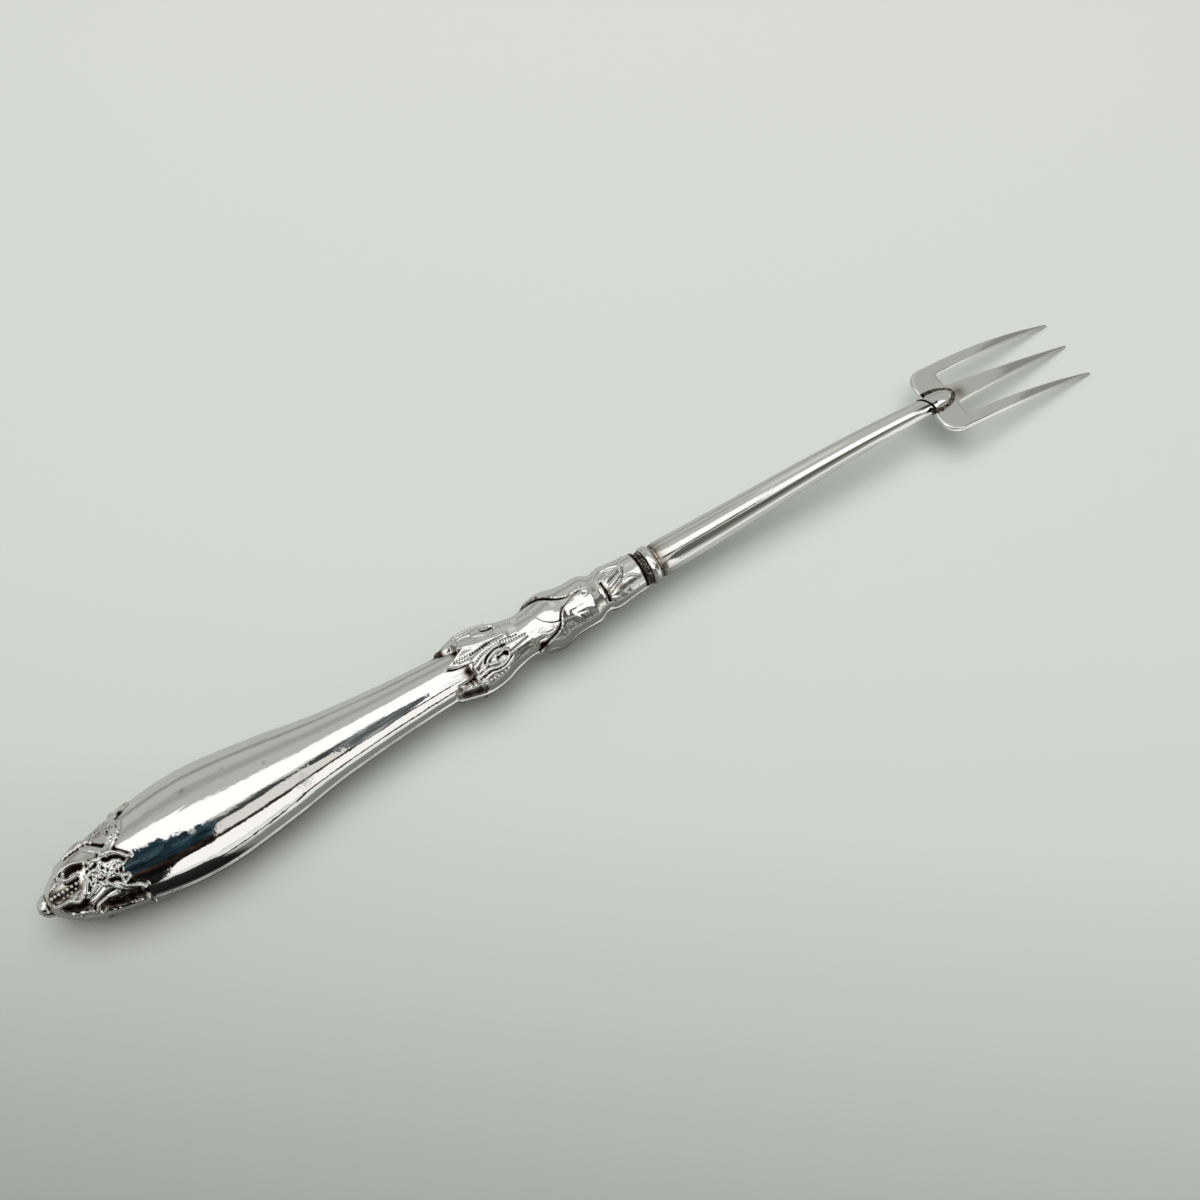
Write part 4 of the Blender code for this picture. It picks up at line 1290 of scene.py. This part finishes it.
def floor():
    """A plain pale table with its fine tooth, painted shade towards the near side, and a pale backdrop far
    off.
    """
    corners = [(TABLE_HALF * x, TABLE_HALF * y, 0) for x, y in ((-1, -1), (1, -1), (1, 1), (-1, 1))]
    data = bpy.data.meshes.new("floor")
    data.from_pydata(corners, [], [(0, 1, 2, 3)])
    made, tree, shader = new_surface("matt_table")
    spot = add(tree, "ShaderNodeTexCoord").outputs["Object"]
    turned_round = add(tree, "ShaderNodeMapping", {"Vector": spot, "Rotation": (0, 0, VIEW_BEARING + 0.2)})
    along = add(tree, "ShaderNodeSeparateXYZ", {0: turned_round}).outputs["Y"]
    shade = add(tree, "ShaderNodeMapRange", {0: along, 1: SHADE_REACH[0], 2: SHADE_REACH[1]})
    tint = add(tree, "ShaderNodeValToRGB", {"Fac": shade}, FLOOR_TONES)
    radius = add(tree, "ShaderNodeVectorMath", {0: spot}, operation="LENGTH").outputs["Value"]
    wide_off, far_off = (
        add(tree, "ShaderNodeMapRange", {0: radius, 1: start, 2: end}, interpolation_type="SMOOTHSTEP")
        for start, end in (EVEN_REACH, BACKDROP_REACH))
    evened = add(tree, "ShaderNodeMix", {0: wide_off, 6: tint, 7: srgb(PALE)}, data_type="RGBA").outputs[2]
    tooth = add(tree, "ShaderNodeTexNoise", {"Vector": spot, "Scale": per_mm(0.8), "Detail": 3.0})
    grain = add(tree, "ShaderNodeBump", {"Height": tooth, "Strength": 0.1, "Distance": 0.02 * MM})
    path = add(tree, "ShaderNodeLightPath").outputs
    shown = add(tree, "ShaderNodeMix", {0: path["Is Glossy Ray"], 6: evened, 7: mirrored_table(tree, spot)},
                data_type="RGBA").outputs[2]
    connect(tree, shader, {"Base Color": shown, "Normal": grain, "Roughness": 0.85,
                           "Specular IOR Level": 0.2})
    backdrop = add(tree, "ShaderNodeEmission", {"Color": srgb(PALE), "Strength": 1.0})
    to_eye = add(tree, "ShaderNodeMath", {0: path["Is Camera Ray"], 1: far_off}, operation="MULTIPLY")
    seen = add(tree, "ShaderNodeMixShader", {0: to_eye, 1: shader, 2: backdrop})
    connect(tree, tree.nodes["Material Output"], {"Surface": seen})
    data.materials.append(made)
    new_object("floor", data)


# What the silver mirrors, painted in this order over the far wall's grey: colour, lower and upper edge,
# reach along X of the ray, softness. An edge is its degrees from overhead, plus towards +Y, and its tilt
# in degrees per unit of X.
FAR_WALL = "#AEAFAB"
ROOM_PATCHES = (
    ("#8C8D89", (80, 0), (90, 0), (-0.80, 0.90), 3.0),
    ("#989995", (40, 0), (57, 0), (-0.80, 0.285), 6.0),
    ("#FFFFFF", (-30, 0), (12, 0), (-1.10, -0.70), 4.0),
    ("#1A1614", (-85, 0), (-45, 0), (-1.10, -0.62), 4.0),
    ("#FFFFFF", (-18, 0), (20, -26), (-0.70, 0.285), 3.0),
    ("#3C3F3E", (-31, 0), (-22, 0), (-0.10, 0.285), 1.5),
    ("#D4D1CD", (-53, 0), (-31, 0), (-0.02, 0.285), 1.5),
    ("#2A2422", (-60, 0), (-53, 0), (-0.80, 0.285), 1.5),
    ("#F6F3F1", (-92, 0), (-60, 0), (-0.45, 0.285), 1.5),
    ("#C0BEBB", (-92, 0), (-60, 0), (0.275, 0.60), 3.0),
    ("#C6C7C3", (28, 0), (52, 0), (0.285, 0.42), 6.0),
    ("#FFFFFF", (-7, -80), (13, -35), (0.285, 0.74), 2.5),
    ("#FFFFFF", (-88, 0), (-11, 0), (0.60, 0.74), 3.0),
    ("#4E4C48", (-45, 0), (-4, 0), (0.63, 0.74), 4.0),
    ("#A5A4A1", (-88, 0), (-11, 0), (0.74, 1.00), 3.0),
    ("#A5A6A2", (2, 0), (75, 0), (0.62, 0.79), 3.0),
    ("#838380", (2, 0), (120, 0), (0.79, 1.00), 3.0),
)
ROOM_STRENGTH = 1.12
AMBIENT = 0.37
KEY_POWER = 4.8
KEY_PLACE = (0.02, 0.06, 0.75)
KEY_SIZE = 0.70


def room():
    """Plain soft light for the surfaces, and for mirror rays only painted reflections of a bright ceiling
    between grey and dark walls.
    """
    world = bpy.data.worlds.new("room")
    bpy.context.scene.world = world
    world.use_nodes = True
    tree = world.node_tree
    tree.nodes.clear()
    ray = add(tree, "ShaderNodeTexCoord").outputs["Generated"]
    parts = add(tree, "ShaderNodeSeparateXYZ", {0: ray}).outputs
    turn = add(tree, "ShaderNodeMath", {0: parts["Y"], 1: parts["Z"]}, operation="ARCTAN2")
    degrees = add(tree, "ShaderNodeMath", {0: turn}, operation="DEGREES")
    seen = srgb(FAR_WALL)
    for code, low, high, across, soft in ROOM_PATCHES:
        past = []
        for start, tilt in (low, high):
            level = add(tree, "ShaderNodeMath", {0: parts["X"], 1: -tilt, 2: degrees},
                        operation="MULTIPLY_ADD")
            past.append(add(tree, "ShaderNodeMapRange", {0: level, 1: start - soft, 2: start + soft},
                            interpolation_type="SMOOTHSTEP"))
        lengthwise = add(tree, "ShaderNodeMath", dict(enumerate(past)), operation="SUBTRACT")
        crosswise = between(tree, parts["X"], *across, 0.02)
        patch = add(tree, "ShaderNodeMath", {0: lengthwise, 1: crosswise}, operation="MULTIPLY")
        seen = add(tree, "ShaderNodeMix", {0: patch, 6: seen, 7: srgb(code)}, data_type="RGBA").outputs[2]
    path = add(tree, "ShaderNodeLightPath").outputs
    mirrored_room = add(tree, "ShaderNodeBackground", {"Color": seen, "Strength": ROOM_STRENGTH})
    plain = add(tree, "ShaderNodeBackground", {"Color": srgb("#F4F6F5"), "Strength": AMBIENT})
    pale = add(tree, "ShaderNodeBackground", {"Color": srgb(PALE), "Strength": 1.0})
    lit = add(tree, "ShaderNodeMixShader", {0: path["Is Camera Ray"], 1: plain, 2: pale})
    shown = add(tree, "ShaderNodeMixShader", {0: path["Is Glossy Ray"], 1: lit, 2: mirrored_room})
    add(tree, "ShaderNodeOutputWorld", {"Surface": shown})


# Glowing cards round the fork, no lamps, that only mirror rays see: painted reflections. Their edges are
# pairs:
# millimetres from the butt and degrees round the axis from overhead
CLOTH_TOP = ((-40, 5), (-26, 5), (-20, 0), (-14, -3), (7, -17), (17, -19), (29, -23), (32, -28))
CLOTH_BASE = (
    (-40, -98), (-22.5, -98), (-20.5, -86), (-16, -70), (-2, -61), (27, -62), (28.5, -47), (32, -29),
)
CLOTH_DISTANCE = 100.0
CLOTH_RAGS = 7.0
NECK_TOP = ((55, -22), (62.7, -23), (67.7, -26), (71.6, -30))
NECK_BASE = ((55, -24), (57.5, -55), (62.8, -60), (66.5, -57), (69, -48), (71.6, -40))
NECK_DISTANCE = 30.0
SHANK_TOP = ((122, -52), (129, -32), (135, -35), (148, -38), (165, -39), (186, -47), (200, -57))
SHANK_BASE = ((122, -54), (129, -76), (136, -84), (165, -83), (184, -92), (200, -96))
SHANK_DISTANCE = 50.0
RIM_TOP = ((48, -92), (53, -85), (58, -87), (66, -86), (74, -84), (79, -83))
RIM_BASE = ((48, -97), (53, -91), (58, -93), (66, -92), (74, -90), (79, -89))
RIM_DISTANCE = 40.0
BULB_TOP = ((76, -68), (84, -62), (88, -50), (98, -54), (116, -60))
BULB_BASE = ((76, -103.5), (116, -103.5))
BULB_DISTANCE = 30.0
PALE_TOP = ((64, -18), (110, -17))
PALE_BASE = ((64, -50), (76, -52), (79, -66), (84, -62), (88, -50), (98, -54), (110, -58))
PALE_DISTANCE = 32.0


def card(name, top, base, distance, surface, rags=0.0):
    """A glowing card bent round the fork's axis between two edges, the top one uneven: a painted reflection
    only mirror rays see.
    """
    columns, steps = 41, 8
    stations = np.linspace(top[0][0], top[-1][0], columns)
    uneven = rags * np.random.default_rng(2).uniform(-1, 1, columns)
    high = np.interp(stations, *zip(*top)) + uneven
    low = np.interp(stations, *zip(*base))
    points = []
    for x, first, last in zip(stations, high, low):
        for lean in np.radians(np.linspace(first, last, steps + 1)):
            points.append(place(x, distance * math.sin(lean), distance * math.cos(lean)))
    rows = np.arange(len(points)).reshape(columns, steps + 1)
    data = bpy.data.meshes.new(name)
    data.from_pydata(points, [], grid_faces(rows.tolist()))
    data.materials.append(surface)
    made = new_object(name, data)
    made.visible_camera = False
    made.visible_diffuse = False
    made.visible_shadow = False


def card_cloth(name, fold, stops, lower_tones=(), strength=1.0):
    """A glowing painted reflection of cloth in folds of a size in millimetres, with other tones below given
    degrees from overhead.
    """
    made, tree, shader = new_surface(name)
    spot = add(tree, "ShaderNodeTexCoord").outputs["Object"]
    folds = add(tree, "ShaderNodeTexNoise", {"Vector": spot, "Scale": per_mm(fold), "Detail": 4.0})
    parts = add(tree, "ShaderNodeSeparateXYZ", {0: spot}).outputs
    over_axis = add(tree, "ShaderNodeMath", {0: parts["Z"], 1: AXIS * MM}, operation="SUBTRACT")
    turn = add(tree, "ShaderNodeMath", {0: parts["Y"], 1: over_axis}, operation="ARCTAN2")
    lean = add(tree, "ShaderNodeMath", {0: turn}, operation="DEGREES")
    soft = 4.0
    tone = add(tree, "ShaderNodeValToRGB", {"Fac": folds}, stops)
    for edge, lower_stops in lower_tones:
        above = add(tree, "ShaderNodeMapRange", {0: lean, 1: edge - soft, 2: edge + soft},
                    interpolation_type="SMOOTHSTEP")
        lower = add(tree, "ShaderNodeValToRGB", {"Fac": folds}, lower_stops)
        tone = add(tree, "ShaderNodeMix", {0: above, 6: lower, 7: tone}, data_type="RGBA").outputs[2]
    connect(tree, shader, {"Base Color": srgb("#000000"), "Specular IOR Level": 0.0, "Emission Color": tone,
                           "Emission Strength": strength})
    return made


def cards():
    """Painted reflections that give the belly its blue-black side, the neck its grey band, the shank its
    stripe and the rest.
    """
    blue = card_cloth("blue_black_cloth", 25.0, ((0.35, "#0B161C"), (0.55, "#22353F"), (0.70, "#4B5F68")),
                      ((-46, ((0.40, "#17110F"), (0.60, "#4A372D"))),
                       (-57, ((0.35, "#0A0A0B"), (0.65, "#1C1A1A")))))
    card("blue_black_cloth", CLOTH_TOP, CLOTH_BASE, CLOTH_DISTANCE, blue, CLOTH_RAGS)
    grey = card_cloth("grey_cloth", 6.0, ((0.35, "#44484A"), (0.52, "#606567"), (0.68, "#9CA0A0")))
    card("grey_cloth", NECK_TOP, NECK_BASE, NECK_DISTANCE, grey)
    dim = card_cloth("dim_cloth", 10.0, ((0.30, "#54544F"), (0.70, "#66665F")),
                     ((-64, ((0.30, "#74736E"), (0.70, "#82817C"))),
                      (-74, ((0.30, "#989792"), (0.70, "#A3A29E")))))
    card("dim_cloth", SHANK_TOP, SHANK_BASE, SHANK_DISTANCE, dim)
    rim = card_cloth("table_rim", 10.0, ((0.30, "#141211"), (0.70, "#2A2725")))
    card("table_rim", RIM_TOP, RIM_BASE, RIM_DISTANCE, rim)
    mixed = card_cloth("mixed_cloth", 5.0, ((0.35, "#4A4B48"), (0.50, "#6C6D69"), (0.62, "#B2B3AF")))
    card("mixed_cloth", BULB_TOP, BULB_BASE, BULB_DISTANCE, mixed)
    pale = card_cloth("pale_cloth", 6.0, ((0.38, "#B9B7B3"), (0.50, "#FFFFFF")), strength=1.3)
    card("pale_cloth", PALE_TOP, PALE_BASE, PALE_DISTANCE, pale)


def key_lamp():
    """One broad soft lamp from the far side, out of the mirror rays' sight."""
    light = bpy.data.lights.new("key", "AREA")
    light.energy = KEY_POWER
    light.size = KEY_SIZE
    lamp = new_object("key", light)
    lamp.location = KEY_PLACE
    lamp.rotation_euler = Vector(KEY_PLACE).to_track_quat("Z", "Y").to_euler()
    lamp.visible_glossy = False


handle_shell("handle_upper_silver", "handle_upper_shell", False)
handle_shell("handle_lower_silver", "handle_lower_shell", True)
seam_line("seam_left", "seam_solder_left", 1)
seam_line("seam_right", "seam_solder_right", -1)
butt_bead()
mouth_cement()
bolster_ring()
collar_solder()
shank()
beading()
fork_head()
tongue()
shank_crack()
head_solder()
hidden_metal()
camera()
floor()
room()
cards()
key_lamp()

bpy.context.scene.view_settings.view_transform = "Standard"
